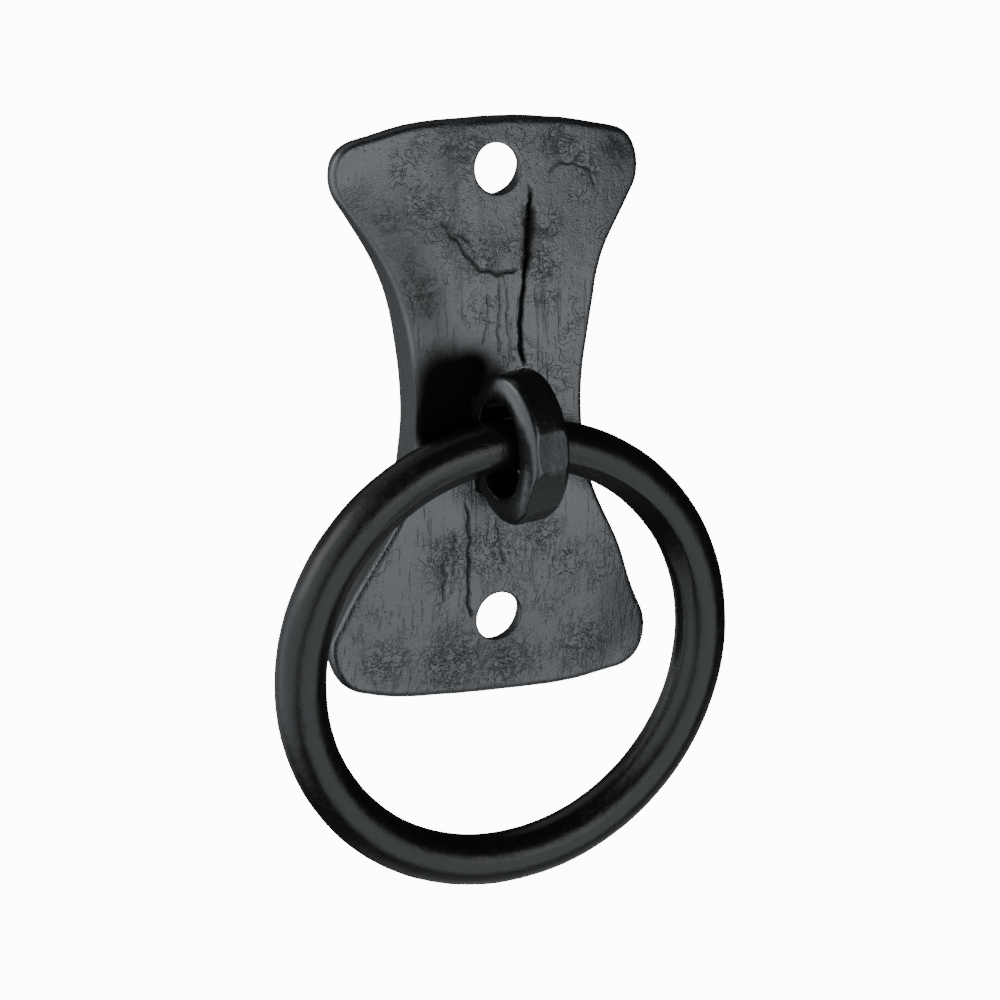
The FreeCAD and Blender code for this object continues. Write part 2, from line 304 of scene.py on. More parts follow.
class Shell:
    """The points and faces of one closed shape, gathered part by part."""

    def __init__(self) -> None:
        """Start with nothing."""
        self.points: list[Points] = []
        self.faces: list[tuple[int, ...]] = []
        self.count = 0

    def add(self, points: Points, faces: Iterable[Sequence[int]]) -> None:
        """Add a part.

        Args:
            points: rows of x, y, z in millimetres.
            faces: corner numbers of each face, counted from the first of these points.
        """
        self.faces += [tuple(corner + self.count for corner in face) for face in faces]
        self.points.append(points)
        self.count += len(points)

    def add_wall(self, rows: list[Points]) -> None:
        """Add a closed wall between loops that have the same number of points."""
        self.add(np.vstack(rows), tube_faces(len(rows), len(rows[0])))


# --- shader and geometry node building ------------------------------------------------------------


class Term:
    """A node socket that takes part in Python arithmetic; each operator adds one Math node."""

    def __init__(self, tree: "Tree", socket: bpy.types.NodeSocket) -> None:
        """Wrap an output socket of a tree."""
        self.tree = tree
        self.socket = socket

    def _math(self, operation: str, *values: "Term | float") -> "Term":
        """Add a Math node."""
        return self.tree.node("ShaderNodeMath", {"operation": operation}, dict(enumerate(values)))

    def __add__(self, other: "Term | float") -> "Term":
        """Sum."""
        return self._math("ADD", self, other)

    def __radd__(self, other: float) -> "Term":
        """Sum."""
        return self._math("ADD", other, self)

    def __sub__(self, other: "Term | float") -> "Term":
        """Difference."""
        return self._math("SUBTRACT", self, other)

    def __rsub__(self, other: float) -> "Term":
        """Difference."""
        return self._math("SUBTRACT", other, self)

    def __mul__(self, other: "Term | float") -> "Term":
        """Product."""
        return self._math("MULTIPLY", self, other)

    def __truediv__(self, other: "Term | float") -> "Term":
        """Quotient."""
        return self._math("DIVIDE", self, other)

    def size(self) -> "Term":
        """The value without its sign."""
        return self._math("ABSOLUTE", self)

    def power(self, exponent: float) -> "Term":
        """The value to a power."""
        return self._math("POWER", self, exponent)

    def sine(self) -> "Term":
        """Sine of the value in radians."""
        return self._math("SINE", self)

    def cosine(self) -> "Term":
        """Cosine of the value in radians."""
        return self._math("COSINE", self)

    def least(self, other: "Term | float") -> "Term":
        """The smaller of two values."""
        return self._math("MINIMUM", self, other)

    def most(self, other: "Term | float") -> "Term":
        """The larger of two values."""
        return self._math("MAXIMUM", self, other)

    def ramp(self, low: float, high: float, start: float = 0.0, stop: float = 1.0) -> "Term":
        """A smooth step.

        Args:
            low: the value at which it starts to change.
            high: the value at which it has changed.
            start: what it gives below low.
            stop: what it gives above high.

        Returns:
            The stepped value.
        """
        return self.tree.node(
            "ShaderNodeMapRange",
            {"interpolation_type": "SMOOTHSTEP"},
            {"Value": self, "From Min": low, "From Max": high, "To Min": start, "To Max": stop},
            "Result",
        )


class Tree:
    """Builds one node tree, for a material or for geometry."""

    def __init__(self, nodes: bpy.types.NodeTree) -> None:
        """Start on a tree."""
        self.nodes = nodes

    def node(
        self,
        kind: str,
        settings: dict[str, object] | None = None,
        inputs: dict[str | int, object] | None = None,
        output: str | int = 0,
    ) -> Term:
        """Add one node.

        Args:
            kind: the node's type.
            settings: its properties, set first.
            inputs: the values or links of its sockets, by name or number.
            output: the name or number of the socket to hand back.

        Returns:
            The output socket, wrapped.
        """
        made = self.nodes.nodes.new(kind)
        for name, value in (settings or {}).items():
            setattr(made, name, value)
        for name, value in (inputs or {}).items():
            self.feed(made.inputs[name], value)
        return Term(self, made.outputs[output]) if len(made.outputs) else Term(self, None)

    def feed(self, socket: bpy.types.NodeSocket, value: object) -> None:
        """Link a term to a socket, or set the socket's value.

        Args:
            socket: the input socket.
            value: a term, or a plain value.
        """
        if isinstance(value, Term):
            self.nodes.links.new(value.socket, socket)
        else:
            socket.default_value = value

    def noise(self, place: Term, cell: float, detail: float = 2.0, rough: float = 0.5,
              bend: float = 0.0) -> Term:
        """A noise texture.

        Args:
            place: where it is read, in metres.
            cell: size of its lumps, in millimetres.
            detail: octaves of finer noise.
            rough: strength of the finer noise.
            bend: how much it is distorted.

        Returns:
            Its value, about 0.5 on average.
        """
        return self.node(
            "ShaderNodeTexNoise", None,
            {"Vector": place, "Scale": 1.0 / (cell * MM), "Detail": detail, "Roughness": rough,
             "Distortion": bend}, 0)

    def attribute(self, name: str) -> Term:
        """A number stored at each point of the piece."""
        return self.node("ShaderNodeAttribute", {"attribute_name": name}, None, "Fac")

    def stretched(self, place: Term, scale: tuple[float, float, float]) -> Term:
        """The same place with each axis scaled."""
        return self.node("ShaderNodeMapping", {"vector_type": "POINT"},
                         {"Vector": place, "Scale": scale})

    def mix_colour(self, factor: Term, low: Sequence[float], high: Sequence[float]) -> Term:
        """A colour between two, by a factor."""
        return self.node("ShaderNodeMix", {"data_type": "RGBA"}, {0: factor, 6: low, 7: high}, 2)


@dataclass(frozen=True)
class BlackPaint:
    """Black paint brushed over forged steel, thin enough that the scale under it shows."""

    name: str
    slot: str
    black: tuple[float, float, float] = (0.006, 0.0062, 0.0066)
    dusty: tuple[float, float, float] = (0.017, 0.018, 0.019)
    # painted shade: colour of the darkening in crevices and of the painted shadow
    painted_shade: tuple[float, float, float] = (0.0035, 0.003, 0.0026)
    gloss: float = 0.24
    dull: float = 0.44
    grain: float = 0.5
    grain_cell: float = 0.42
    scale_lines: float = 0.5
    forge_lines: float = 0.0
    specular: float = 0.5
    marked: bool = False
    patch_cell: float = 9.0
    peel_cell: float = 1.1
    squiggle_cell: float = 2.6
    squiggle_sharpness: float = 26.0
    crust_cell: float = 7.0
    wear_cell: float = 0.9
    drawn_cell: float = 0.8
    drawn_stretch: float = 0.07
    crackle_cell: float = 1.5
    vein_sharpness: float = 30.0
    pit_cell: float = 0.62
    pitted_cell: float = 6.0
    # metallic value at full painted shade, which takes away the gloss there
    most_deadened: float = 0.93
    bump_strength: float = 0.55
    bump_depth: float = 0.16

    def fine_line(self, pattern: Term, sharpness: float) -> Term:
        """1 along the thin lines where a noise pattern crosses its middle, and 0 elsewhere."""
        return 1.0 - ((pattern - 0.5).size() * sharpness).least(1.0)

    def material(self) -> bpy.types.Material:
        """Build the material.

        Returns:
            A material with procedural colour, roughness, gloss loss and bump, and with painted shade in
            its crevices and painted shadow where marked.
        """
        made = bpy.data.materials.new(self.name)
        made.use_nodes = True
        made.node_tree.nodes.clear()
        tree = Tree(made.node_tree)
        place = tree.node("ShaderNodeTexCoord", output="Object")

        patches = tree.noise(place, self.patch_cell, 3.0, 0.55, 0.4)
        fine = tree.noise(place, self.grain_cell, 3.0, 0.65)
        peel = tree.noise(place, self.peel_cell, 1.0, 0.4)
        squiggle = tree.noise(place, self.squiggle_cell, 2.0, 0.55, 1.6)
        crust = tree.noise(place, self.crust_cell, 2.0, 0.5).ramp(0.47, 0.62)
        line = self.fine_line(squiggle, self.squiggle_sharpness) * crust
        wear = tree.noise(place, self.wear_cell, 2.0, 0.65).ramp(0.5, 0.8)

        relief = fine * self.grain + peel * 0.35 - line * self.scale_lines
        # painted shade: the colour darkens along the cut-in scale lines, and further down along drawn
        # lines, veins, pits and cracks
        painted_shade: Term | float = line * 0.3
        dulled: Term | float = 0.0
        deadened: Term | float = 0.0
        if self.forge_lines:
            along = tree.stretched(place, (1.0, 1.0, self.drawn_stretch))
            drawn = tree.noise(along, self.drawn_cell, 3.0, 0.7)
            drawn = drawn.ramp(0.54, 0.70) * self.forge_lines
            if self.marked:
                drawn = drawn * tree.attribute("drawn_out")
            relief = relief - drawn
            painted_shade = painted_shade + drawn * 0.35
        if self.marked:
            # painted shade: this mark darkens the cracks and takes away their gloss
            scaly, crack_shade = tree.attribute("scaly"), tree.attribute("crack_shade")
            crackle = tree.noise(place, self.crackle_cell, 3.0, 0.62, 1.2)
            vein = self.fine_line(crackle, self.vein_sharpness) * scaly
            pits = tree.noise(place, self.pit_cell, 2.0, 0.6).ramp(0.66, 0.74)
            pitted = tree.noise(place, self.pitted_cell, 1.0, 0.5).ramp(0.42, 0.62)
            pits = pits * (pitted * 0.7 + scaly).least(1.0)
            relief = relief + crackle * scaly * 1.2 - vein * 1.6 - pits * 1.4
            # painted shadow and shade: this mark darkens the colour and raises the roughness and the
            # metallic value
            shadow_paint = tree.attribute("shadow_paint")
            dulled = shadow_paint
            # painted shade: a raised metallic value over the near-black colour takes away the gloss in
            # painted shadow and in cracks
            deadened = (shadow_paint + crack_shade * 0.8).ramp(0.1, 1.0, 0.0, self.most_deadened)
            # painted shade in veins, pits and cracks, and the painted shadow, are summed into the
            # darkening
            painted_shade = (painted_shade + vein * 0.9 + pits * 0.8 + crack_shade * 1.4 + shadow_paint).least(1.0)
        bump = tree.node("ShaderNodeBump", None,
                         {"Strength": self.bump_strength, "Distance": self.bump_depth * MM,
                          "Height": relief}, "Normal")

        bare = tree.mix_colour((patches * 0.6 + wear * 0.5).least(1.0),
                               (*self.black, 1.0), (*self.dusty, 1.0))
        # the painted shade and painted shadow are mixed into the colour here
        colour = tree.mix_colour(painted_shade, bare, (*self.painted_shade, 1.0))
        roughness = (patches * 0.5 + wear * 0.5).ramp(0.2, 0.8, self.gloss, self.dull)
        roughness = roughness + painted_shade * (0.7 - self.dull) + dulled * 0.4
        paint = tree.node("ShaderNodeBsdfPrincipled", None, {
            "Base Color": colour, "Roughness": roughness, "Normal": bump,
            "Specular IOR Level": self.specular, "IOR": 1.5, "Metallic": deadened})
        tree.node("ShaderNodeOutputMaterial", None, {"Surface": paint})
        return made


def wear_finish(piece: bpy.types.Object, finish: BlackPaint) -> None:
    """Give a piece its paint.

    Args:
        piece: the finished mesh object.
        finish: its paint.
    """
    piece.data.materials.clear()
    piece.data.materials.append(finish.material())


# --- the plate ------------------------------------------------------------------------------------


def arc_run(centre: tuple[float, float], radius: float, start: float, stop: float) -> Points:
    """Points along an arc, ARC_STEP apart.

    Args:
        centre: the arc's centre.
        radius: its radius in millimetres.
        start: its first angle in radians.
        stop: its last angle in radians.

    Returns:
        Rows of two coordinates, without the last point.
    """
    steps = max(2, int(abs(stop - start) * radius / ARC_STEP))
    angles = start + (stop - start) * np.arange(steps) / steps
    return np.column_stack((centre[0] + radius * np.cos(angles), centre[1] + radius * np.sin(angles)))


def path_marks(path: Points) -> Points:
    """How far along a path each of its points is."""
    return np.concatenate(([0.0], np.cumsum(np.linalg.norm(np.diff(path, axis=0), axis=1))))


def along_path(path: Points, walked: Points, marks: Points) -> Points:
    """The points of a path at given distances along it.

    Args:
        path: rows of two coordinates.
        walked: how far along the path each row is.
        marks: the wanted distances.

    Returns:
        Rows of two coordinates.
    """
    return np.column_stack([np.interp(marks, walked, path[:, axis]) for axis in (0, 1)])


def even_loop(points: Points, spacing: float) -> Points:
    """Walk a closed path in even steps.

    Args:
        points: rows of two coordinates.
        spacing: wanted step in millimetres.

    Returns:
        The new points.
    """
    closed = np.vstack((points, points[:1]))
    walked = path_marks(closed)
    count = int(round(walked[-1] / spacing))
    return along_path(closed, walked, np.arange(count) * walked[-1] / count)


def loop_normals(points: Points) -> Points:
    """Outward normals of a closed path that goes clockwise round x, z.

    Args:
        points: the path, as rows of x, z.

    Returns:
        Rows of length 1, one for each point.
    """
    run = np.roll(points, -1, axis=0) - np.roll(points, 1, axis=0)
    normal = np.column_stack((-run[:, 1], run[:, 0]))
    return normal / np.linalg.norm(normal, axis=1)[:, None]


@dataclass(frozen=True)
class Pull:
    """Where the smith's outline leaves the drawn one: a place, how far it spreads, and the move."""

    x: float
    z: float
    spread: float
    move: tuple[float, float]


@dataclass(frozen=True)
class Patch:
    """A round area of the plate's front: its x, z place, radius, and how deep or strong it is."""

    x: float
    z: float
    radius: float
    amount: float

    def over(self, places: Points) -> Points:
        """Strength at each x, z place, fading from the middle."""
        gap = np.hypot(places[:, 0] - self.x, places[:, 1] - self.z)
        return self.amount * np.exp(-((gap / self.radius) ** 2))


@dataclass
class BackPlate:
    """The plate: a forged bar, drawn out and flared at both ends, with a screw hole in each flare."""

    top: float = 42.3
    bottom: float = 47.6
    waist_half: float = 13.9
    waist_drop: float = 2.2
    waist_arc: float = 56.0
    top_half: float = 25.7
    bottom_half: float = 26.5
    corner_arc: float = 5.8
    thick: float = 7.6
    taper_bottom: float = 14.5
    taper_arc: float = 112.0
    shoulder: tuple[tuple[float, float], ...] = (
        (-27.0, 6.0), (-14.0, 8.5), (-10.9, 10.0), (-7.8, 12.5), (-6.1, 15.5), (-3.5, 17.9),
        (4.9, 16.9), (14.2, 15.3), (27.0, 15.0),
    )
    shoulder_blend: float = 0.5
    flare_slope: float = 0.105
    flare_curve: float = 0.0018
    thinnest: float = 2.7
    thin_blend: float = 0.6
    proud_at_most: float = 0.08
    side_thinning: float = 2.3
    thinned_from_waist: tuple[float, float] = (14.0, 34.0)
    thinned_across: tuple[float, float] = (14.5, 28.5)
    thinned_less_up: tuple[float, float] = (-10.0, 10.0)
    top_thinning: float = 0.5
    edge_round: float = 1.0
    back_round: float = 0.35
    hole_spacing: float = 70.0
    hole_radius: float = 3.8
    hole_back: float = 5.5
    hole_round: float = 0.3
    hole_side: float = 0.45
    hole_lean: float = 0.5
    hole_flare: float = 1.5
    hole_oval: float = 0.05
    hole_three_sided: float = 0.04
    outline_step: float = 0.4
    grid: float = 0.31
    grid_margin: float = 0.25
    grid_x: tuple[float, float] = (-30.0, 30.0)
    grid_z: tuple[float, float] = (-50.0, 45.0)
    slot_margin: float = 0.6
    crack_grid: float = 0.14
    crack_margin: float = 2.0
    crack_hole_margin: float = 1.0
    crack_edge_margin: float = 2.2
    crack_spread: float = 2.6
    back_grid: float = 1.3
    back_margin: float = 1.2
    back_hole_margin: float = 2.1
    round_steps: int = 7
    wall_rows: int = 10
    slot_rows_through: int = 9
    pulls: tuple[Pull, ...] = (
        Pull(17.0, -26.0, 9.0, (2.2, 0.0)),
        Pull(25.0, -35.0, 6.0, (0.6, 0.0)),
        Pull(26.0, -44.0, 6.5, (0.5, -0.8)),
        Pull(15.0, -47.0, 7.0, (0.0, -0.6)),
        Pull(-19.0, -28.0, 10.0, (-2.5, 0.0)),
        Pull(-18.0, -46.5, 8.0, (0.2, -0.7)),
        Pull(-26.0, -42.0, 4.0, (0.5, 0.2)),
        Pull(14.0, 18.0, 6.0, (-0.6, 0.0)),
        Pull(18.0, 23.0, 7.0, (-1.0, 0.0)),
        Pull(25.0, 33.0, 4.5, (-0.7, 0.0)),
        Pull(23.5, 39.5, 3.5, (0.35, 0.2)),
        Pull(8.0, 42.0, 14.0, (0.0, 0.35)),
        Pull(-14.0, 41.5, 9.0, (0.0, 0.55)),
        Pull(-25.0, 37.5, 4.0, (-0.35, 0.5)),
        Pull(-17.0, 18.0, 8.0, (0.5, 0.0)),
    )
    grooves: tuple[Groove, ...] = (
        Groove(((5.9, 33.0), (5.5, 27.7), (4.6, 23.2), (4.0, 17.9), (3.1, 11.7), (3.3, 7.8),
                (4.1, 4.0)), 0.27, 0.75),
        Groove(((5.7, 29.5), (5.3, 26.0), (4.6, 22.0), (4.2, 19.0)), 0.8, 0.40),
        Groove(((-0.4, 18.5), (-0.3, 15.0), (-0.6, 11.0), (-0.2, 6.0)), 0.22, 0.13),
        Groove(((1.2, 17.5), (1.0, 13.0), (1.5, 8.5)), 0.2, 0.11),
        Groove(((-2.4, 16.5), (-2.2, 12.0), (-2.8, 8.0)), 0.2, 0.10),
        Groove(((-6.1, -14.5), (-5.4, -22.0), (-5.2, -28.5), (-5.1, -32.6), (-3.6, -36.0)), 0.24, 0.30),
        Groove(((-9.5, -25.0), (-9.3, -28.5), (-9.1, -32.0)), 0.22, 0.19),
        Groove(((-7.9, -20.0), (-7.7, -25.0), (-7.9, -28.0)), 0.24, 0.16),
        Groove(((-0.8, -18.5), (-0.1, -23.3), (1.0, -27.2)), 0.26, 0.16),
        Groove(((-7.6, 26.6), (-6.3, 23.4), (-4.8, 21.2), (-3.2, 19.7), (-0.1, 19.2), (3.6, 19.5)),
               0.26, 0.24),
        Groove(((-9.6, 27.5), (-8.1, 26.9), (-7.4, 25.0), (-6.0, 25.4), (-4.6, 23.9)), 0.24, 0.16),
        Groove(((9.0, 33.4), (11.0, 35.4), (14.0, 35.0), (16.3, 33.6), (16.8, 31.0)), 0.24, 0.13),
    )
    dents: tuple[Patch, ...] = (
        Patch(-24.0, 34.5, 4.2, 0.55),
        Patch(23.5, 38.0, 2.6, 0.45),
        Patch(-9.0, 6.0, 6.0, 0.18),
        Patch(9.0, -12.0, 5.0, 0.16),
        Patch(15.0, 30.0, 6.0, 0.20),
        Patch(-14.0, 29.0, 6.5, 0.22),
        Patch(-15.0, -36.0, 5.5, 0.25),
        Patch(14.5, -33.0, 6.0, 0.22),
        Patch(1.0, 27.0, 5.0, 0.15),
    )
    rough_patches: tuple[Patch, ...] = (
        Patch(-5.5, 38.5, 2.8, 0.9),
        Patch(11.5, 38.4, 2.6, 0.9),
        Patch(15.5, 35.0, 2.2, 0.9),
        Patch(20.4, 36.6, 1.8, 0.9),
        Patch(-7.0, 25.6, 2.0, 1.0),
        Patch(-3.5, 21.5, 2.6, 0.9),
        Patch(-11.5, 30.0, 2.8, 0.7),
        Patch(-17.5, 28.4, 2.0, 0.6),
        Patch(8.0, 26.2, 2.0, 1.0),
        Patch(7.4, 20.2, 2.3, 1.0),
        Patch(5.3, 27.0, 1.8, 0.9),
        Patch(8.3, 14.4, 1.5, 0.9),
        Patch(-13.4, 16.4, 2.4, 0.9),
        Patch(-8.0, -25.0, 3.6, 0.8),
        Patch(-1.0, -24.0, 4.0, 0.8),
        Patch(7.5, -22.5, 2.4, 0.8),
        Patch(12.0, -27.0, 3.0, 0.5),
        Patch(-7.0, -41.8, 4.6, 0.9),
        Patch(2.0, -42.6, 4.0, 0.8),
        Patch(16.0, -40.8, 4.0, 0.7),
        Patch(-18.0, -41.0, 3.2, 0.7),
    )
    # painted shadow: patches that darken the front beside the eye and the top of the ring, fainter up
    # the plate's left side
    shadow_patches: tuple[Patch, ...] = (
        Patch(-9.5, 3.0, 5.2, 1.0),
        Patch(-6.5, -2.0, 4.6, 1.0),
        Patch(-12.0, -4.0, 3.6, 0.9),
        Patch(-4.5, 5.0, 2.4, 0.7),
        Patch(-12.0, 14.0, 4.2, 0.24),
        Patch(-14.5, 20.0, 4.5, 0.2),
        Patch(-17.5, 26.5, 5.0, 0.14),
    )
    shadow_patch_strength: float = 1.2
    # painted shade on the plate's edge walls and back
    edge_shade: float = 0.5
    front_depth: tuple[float, float] = (0.8, 1.4)
    full_crack: float = 0.34
    drawn_fades_up: tuple[float, float] = (14.0, 24.0)
    drawn_lost: float = 0.75
    outline_waves: Ripple = Ripple(0.2, 9.0, 3)
    outline_level: float = 5.0
    hammer_marks: tuple[Ripple, ...] = (Ripple(0.16, 11.0), Ripple(0.05, 3.2, 2, 40.0))
    scale_skin: Ripple = Ripple(0.16, 1.5, 2, 120.0)
    scale_level: float = 0.6
    pit_cell: float = 0.9
    pit_shift: float = 150.0
    pit_edges: tuple[float, float] = (0.55, 0.8)
    pit_depth: float = 0.12
    pit_least: float = 0.25
    edge_swell: Ripple = Ripple(0.10, 4.0, 3, 200.0)
    shakes: tuple[Ripple, Ripple] = (Ripple(0.6, 1.9, 3, 60.0), Ripple(0.6, 1.9, 3, 90.0))
    noise: HammerNoise = field(default_factory=lambda: HammerNoise(11))

    def corner(self, end: End) -> tuple[float, float]:
        """Centre of the right-hand corner arc of a flare.

        Args:
            end: which flare.

        Returns:
            Its x and z.
        """
        half = self.top_half if end is End.TOP else self.bottom_half
        x = half - self.corner_arc
        rise = math.sqrt((self.waist_arc + self.corner_arc) ** 2
                         - (self.waist_half + self.waist_arc - x) ** 2)
        return x, -self.waist_drop + end.value * rise

    def crown(self, end: End) -> tuple[float, float]:
        """Radius and centre height of the arc across a flare's end.

        Args:
            end: which flare.

        Returns:
            The radius, and the centre's z.
        """
        x, z = self.corner(end)
        reach = (self.top if end is End.TOP else self.bottom) - end.value * z
        radius = (x * x + reach * reach - self.corner_arc**2) / (2.0 * (reach - self.corner_arc))
        tip = self.top if end is End.TOP else -self.bottom
        return radius, tip - end.value * radius

    def drawn_outline(self) -> Points:
        """The plate's outline as drawn, clockwise from the top.

        Returns:
            Rows of x, z.
        """
        side = (self.waist_half + self.waist_arc, -self.waist_drop)
        runs = []
        top_x, top_z = self.corner(End.TOP)
        radius, middle = self.crown(End.TOP)
        turn = math.atan2(top_z - middle, top_x)
        runs.append(arc_run((0.0, middle), radius, math.pi / 2, turn))
        into_side = math.atan2(side[1] - top_z, side[0] - top_x)
        runs.append(arc_run((top_x, top_z), self.corner_arc, turn, into_side))
        low_x, low_z = self.corner(End.BOTTOM)
        out_of_side = math.atan2(side[1] - low_z, side[0] - low_x)
        runs.append(arc_run(side, self.waist_arc, math.pi + into_side, math.pi + out_of_side))
        radius, middle = self.crown(End.BOTTOM)
        turn = math.atan2(low_z - middle, low_x)
        runs.append(arc_run((low_x, low_z), self.corner_arc, out_of_side, turn))
        runs.append(arc_run((0.0, middle), radius, turn, -math.pi / 2))
        right = np.vstack(runs)
        left = right[::-1] * (-1.0, 1.0)
        return even_loop(np.vstack((right, left[:-1])), self.outline_step)

    def forged_outline(self) -> Points:
        """The outline as the smith left it.

        Returns:
            Rows of x, z, clockwise.
        """
        places = self.drawn_outline()
        moved = places.copy()
        for pull in self.pulls:
            gap = np.hypot(places[:, 0] - pull.x, places[:, 1] - pull.z)
            moved += np.exp(-((gap / pull.spread) ** 2))[:, None] * pull.move
        waves = self.outline_waves.over(self.noise, upright(moved, self.outline_level))
        return even_loop(moved + loop_normals(moved) * waves[:, None], self.outline_step)

    def front(self, places: Points) -> Points:
        """Height of the front before its edges are rounded.

        Args:
            places: rows of x, z.

        Returns:
            y of the surface at each place, in millimetres, negative outwards.
        """
        x, z = places[:, 0], places[:, 1]
        past = np.maximum(-z - self.taper_bottom, 0.0)
        end_drop = self.taper_arc - np.sqrt(self.taper_arc**2 - past**2)
        past = above_zero(z - np.interp(x, *zip(*self.shoulder)), self.shoulder_blend)
        end_drop = end_drop + self.flare_slope * past + self.flare_curve * past**2
        flare = smooth_step(np.abs(z + self.waist_drop), *self.thinned_from_waist)
        side_drop = self.side_thinning * flare * smooth_step(np.abs(x), *self.thinned_across)
        side_drop = side_drop * (1.0 - self.top_thinning * smooth_step(z, *self.thinned_less_up))
        thickness = self.thick - end_drop - side_drop
        thickness = self.thinnest + above_zero(thickness - self.thinnest, self.thin_blend)
        thickness = np.minimum(thickness, self.thick)
        around = upright(places)
        for marks in self.hammer_marks:
            thickness = thickness + marks.over(self.noise, around)
        for dent in self.dents:
            thickness = thickness - dent.over(places)
        ragged = self.ragged(places)
        for groove in self.grooves:
            thickness = thickness - groove.cut(ragged)
        rough = self.roughness(places)
        skin = self.scale_skin
        thickness = thickness - rough * (self.scale_level * skin.depth + skin.over(self.noise, around))
        pits = smooth_step(self.noise.at(around + self.pit_shift, self.pit_cell), *self.pit_edges)
        thickness = thickness - self.pit_depth * pits * (self.pit_least + rough)
        return -np.minimum(thickness, self.thick + self.proud_at_most)

    def ragged(self, places: Points) -> Points:
        """The places, shaken a little so that lines drawn through them come out ragged."""
        around = upright(places)
        return places + np.column_stack([shake.over(self.noise, around) for shake in self.shakes])

    def cracks(self, places: Points) -> Points:
        """How deep in a crack each place of the front is.

        Args:
            places: rows of x, z.

        Returns:
            0 to 1 for each place.
        """
        ragged = self.ragged(places)
        total = np.zeros(len(places))
        for groove in self.grooves:
            total = np.maximum(total, np.minimum(groove.cut(ragged) / self.full_crack, 1.0))
        return total

    def roughness(self, places: Points) -> Points:
        """How rough and scaly the front is.

        Args:
            places: rows of x, z.

        Returns:
            0 to 1 for each place.
        """
        total = np.zeros(len(places))
        for patch in self.rough_patches:
            total = np.maximum(total, patch.over(places))
        return total

    def hole_loop(self, centre: float, radius: float) -> Points:
        """A slightly uneven circle round a screw hole, leaning as the punch did where it widens.

        Args:
            centre: the hole's height.
            radius: the circle's radius.

        Returns:
            Rows of x, z, clockwise.
        """
        angles = -np.linspace(0.0, 2.0 * math.pi, LOOP_POINTS, endpoint=False)
        reach = radius + self.hole_wobble(centre, angles)
        deeper = min(max(radius - self.hole_radius - self.hole_round, 0.0), self.hole_lean)
        return np.column_stack((self.hole_side + reach * np.cos(angles),
                                centre + deeper + reach * np.sin(angles)))

    def hole_wobble(self, centre: float, angles: Points) -> Points:
        """How far a screw hole's edge strays outwards from its circle at each angle."""
        return (self.hole_oval * np.cos(2.0 * angles + centre)
                + self.hole_three_sided * np.cos(3.0 * angles + 1.0))

    def hole_reach(self, places: Points, centre: float) -> Points:
        """Radius of the uneven circle round a screw hole on which each place lies."""
        across, up = places[:, 0] - self.hole_side, places[:, 1] - centre
        return np.hypot(across, up) - self.hole_wobble(centre, np.arctan2(up, across))

    def skin(self, rims: list[Points], inside: Points, hollows: list[Points]) -> tuple[Points, list]:
        """Triangulate a face of the plate.

        Args:
            rims: closed rows of points: the outline first, then rows beside it and round the holes.
            inside: further points of the face.
            hollows: the loops that bound holes.

        Returns:
            The x, z points, and the triangles between them.
        """
        places: list[Vector] = []
        edges: list[tuple[int, int]] = []
        for rim in rims + hollows:
            first = len(places)
            count = len(rim)
            places += [Vector(point) for point in rim]
            edges += [(first + step, first + (step + 1) % count) for step in range(count)]
        places += [Vector(point) for point in inside]
        made = delaunay_2d_cdt(places, edges, [list(range(len(rims[0])))], 1, 1e-6)
        flat = np.array([point[:] for point in made[0]])
        triangles = np.array([face for face in made[2] if len(face) == 3])
        middles = flat[triangles].mean(axis=1)
        keep = np.ones(len(triangles), dtype=bool)
        for hollow in hollows:
            keep &= ~inside_loop(middles, hollow)
        return flat, triangles[keep].tolist()

    def build(self, slots: list["SlotWay"]) -> bpy.types.Object:
        """Make the plate.

        Args:
            slots: the ways through it for the eye's tenons.

        Returns:
            The finished mesh object.
        """
        outline = self.forged_outline()
        outward = loop_normals(outline)
        turns = np.linspace(0.0, math.pi / 2, self.round_steps)
        insets = self.edge_round * (1.0 - np.cos(turns))
        drops = self.edge_round * (1.0 - np.sin(turns))
        holes = [self.hole_spacing / 2, -self.hole_spacing / 2]
        hole_steps = [(self.hole_radius + self.hole_round * (1.0 - math.cos(turn)),
                       self.hole_round * (1.0 - math.sin(turn))) for turn in turns[::2]]
        front_slots = [slot.loop_at(-self.thick) for slot in slots]
        back_slots = [slot.loop_at(0.0) for slot in slots]

        rims = [outline - outward * inset for inset in insets]
        rims += [self.hole_loop(z, radius) for z in holes for radius, _ in hole_steps[1:]]
        hollows = [self.hole_loop(z, self.hole_radius) for z in holes] + front_slots
        inside = self.field(outline, self.grid, insets[-1] + self.grid_margin,
                            [(z, hole_steps[-1][0] + self.grid_margin) for z in holes], front_slots)
        inside = self.with_crack_detail(inside, outline, front_slots)
        flat, triangles = self.skin(rims, inside, hollows)
        gap, _ = distance_to_path(flat, outline, closed=True)
        lowering = np.interp(gap, insets, drops, right=0.0)
        for z in holes:
            lowering += np.interp(self.hole_reach(flat, z), [step[0] for step in hole_steps],
                                  [step[1] for step in hole_steps], right=0.0)
        depth = self.front(flat) + lowering
        shell = Shell()
        shell.add(np.column_stack((flat[:, 0], depth, flat[:, 1])), triangles)
        shell.add_wall(self.edge_rows(outline, outward, self.front(outline) + self.edge_round))
        for z in holes:
            shell.add_wall(self.hole_rows(z))
        for front_loop, back_loop in zip(front_slots, back_slots):
            shell.add_wall(self.slot_rows(front_loop, back_loop))

        back_rim = outline - outward * self.back_round
        back_holes = [self.hole_loop(z, self.hole_back + self.back_round) for z in holes]
        back_inside = self.field(outline, self.back_grid, self.back_margin,
                                 [(z, self.hole_back + self.back_hole_margin) for z in holes],
                                 back_slots)
        flat, triangles = self.skin([back_rim], back_inside, back_holes + back_slots)
        shell.add(np.column_stack((flat[:, 0], 0.0 * flat[:, 0], flat[:, 1])), triangles)
        piece = solid_mesh("back_plate_forged", np.vstack(shell.points), shell.faces)
        self.mark_rough(piece)
        return piece

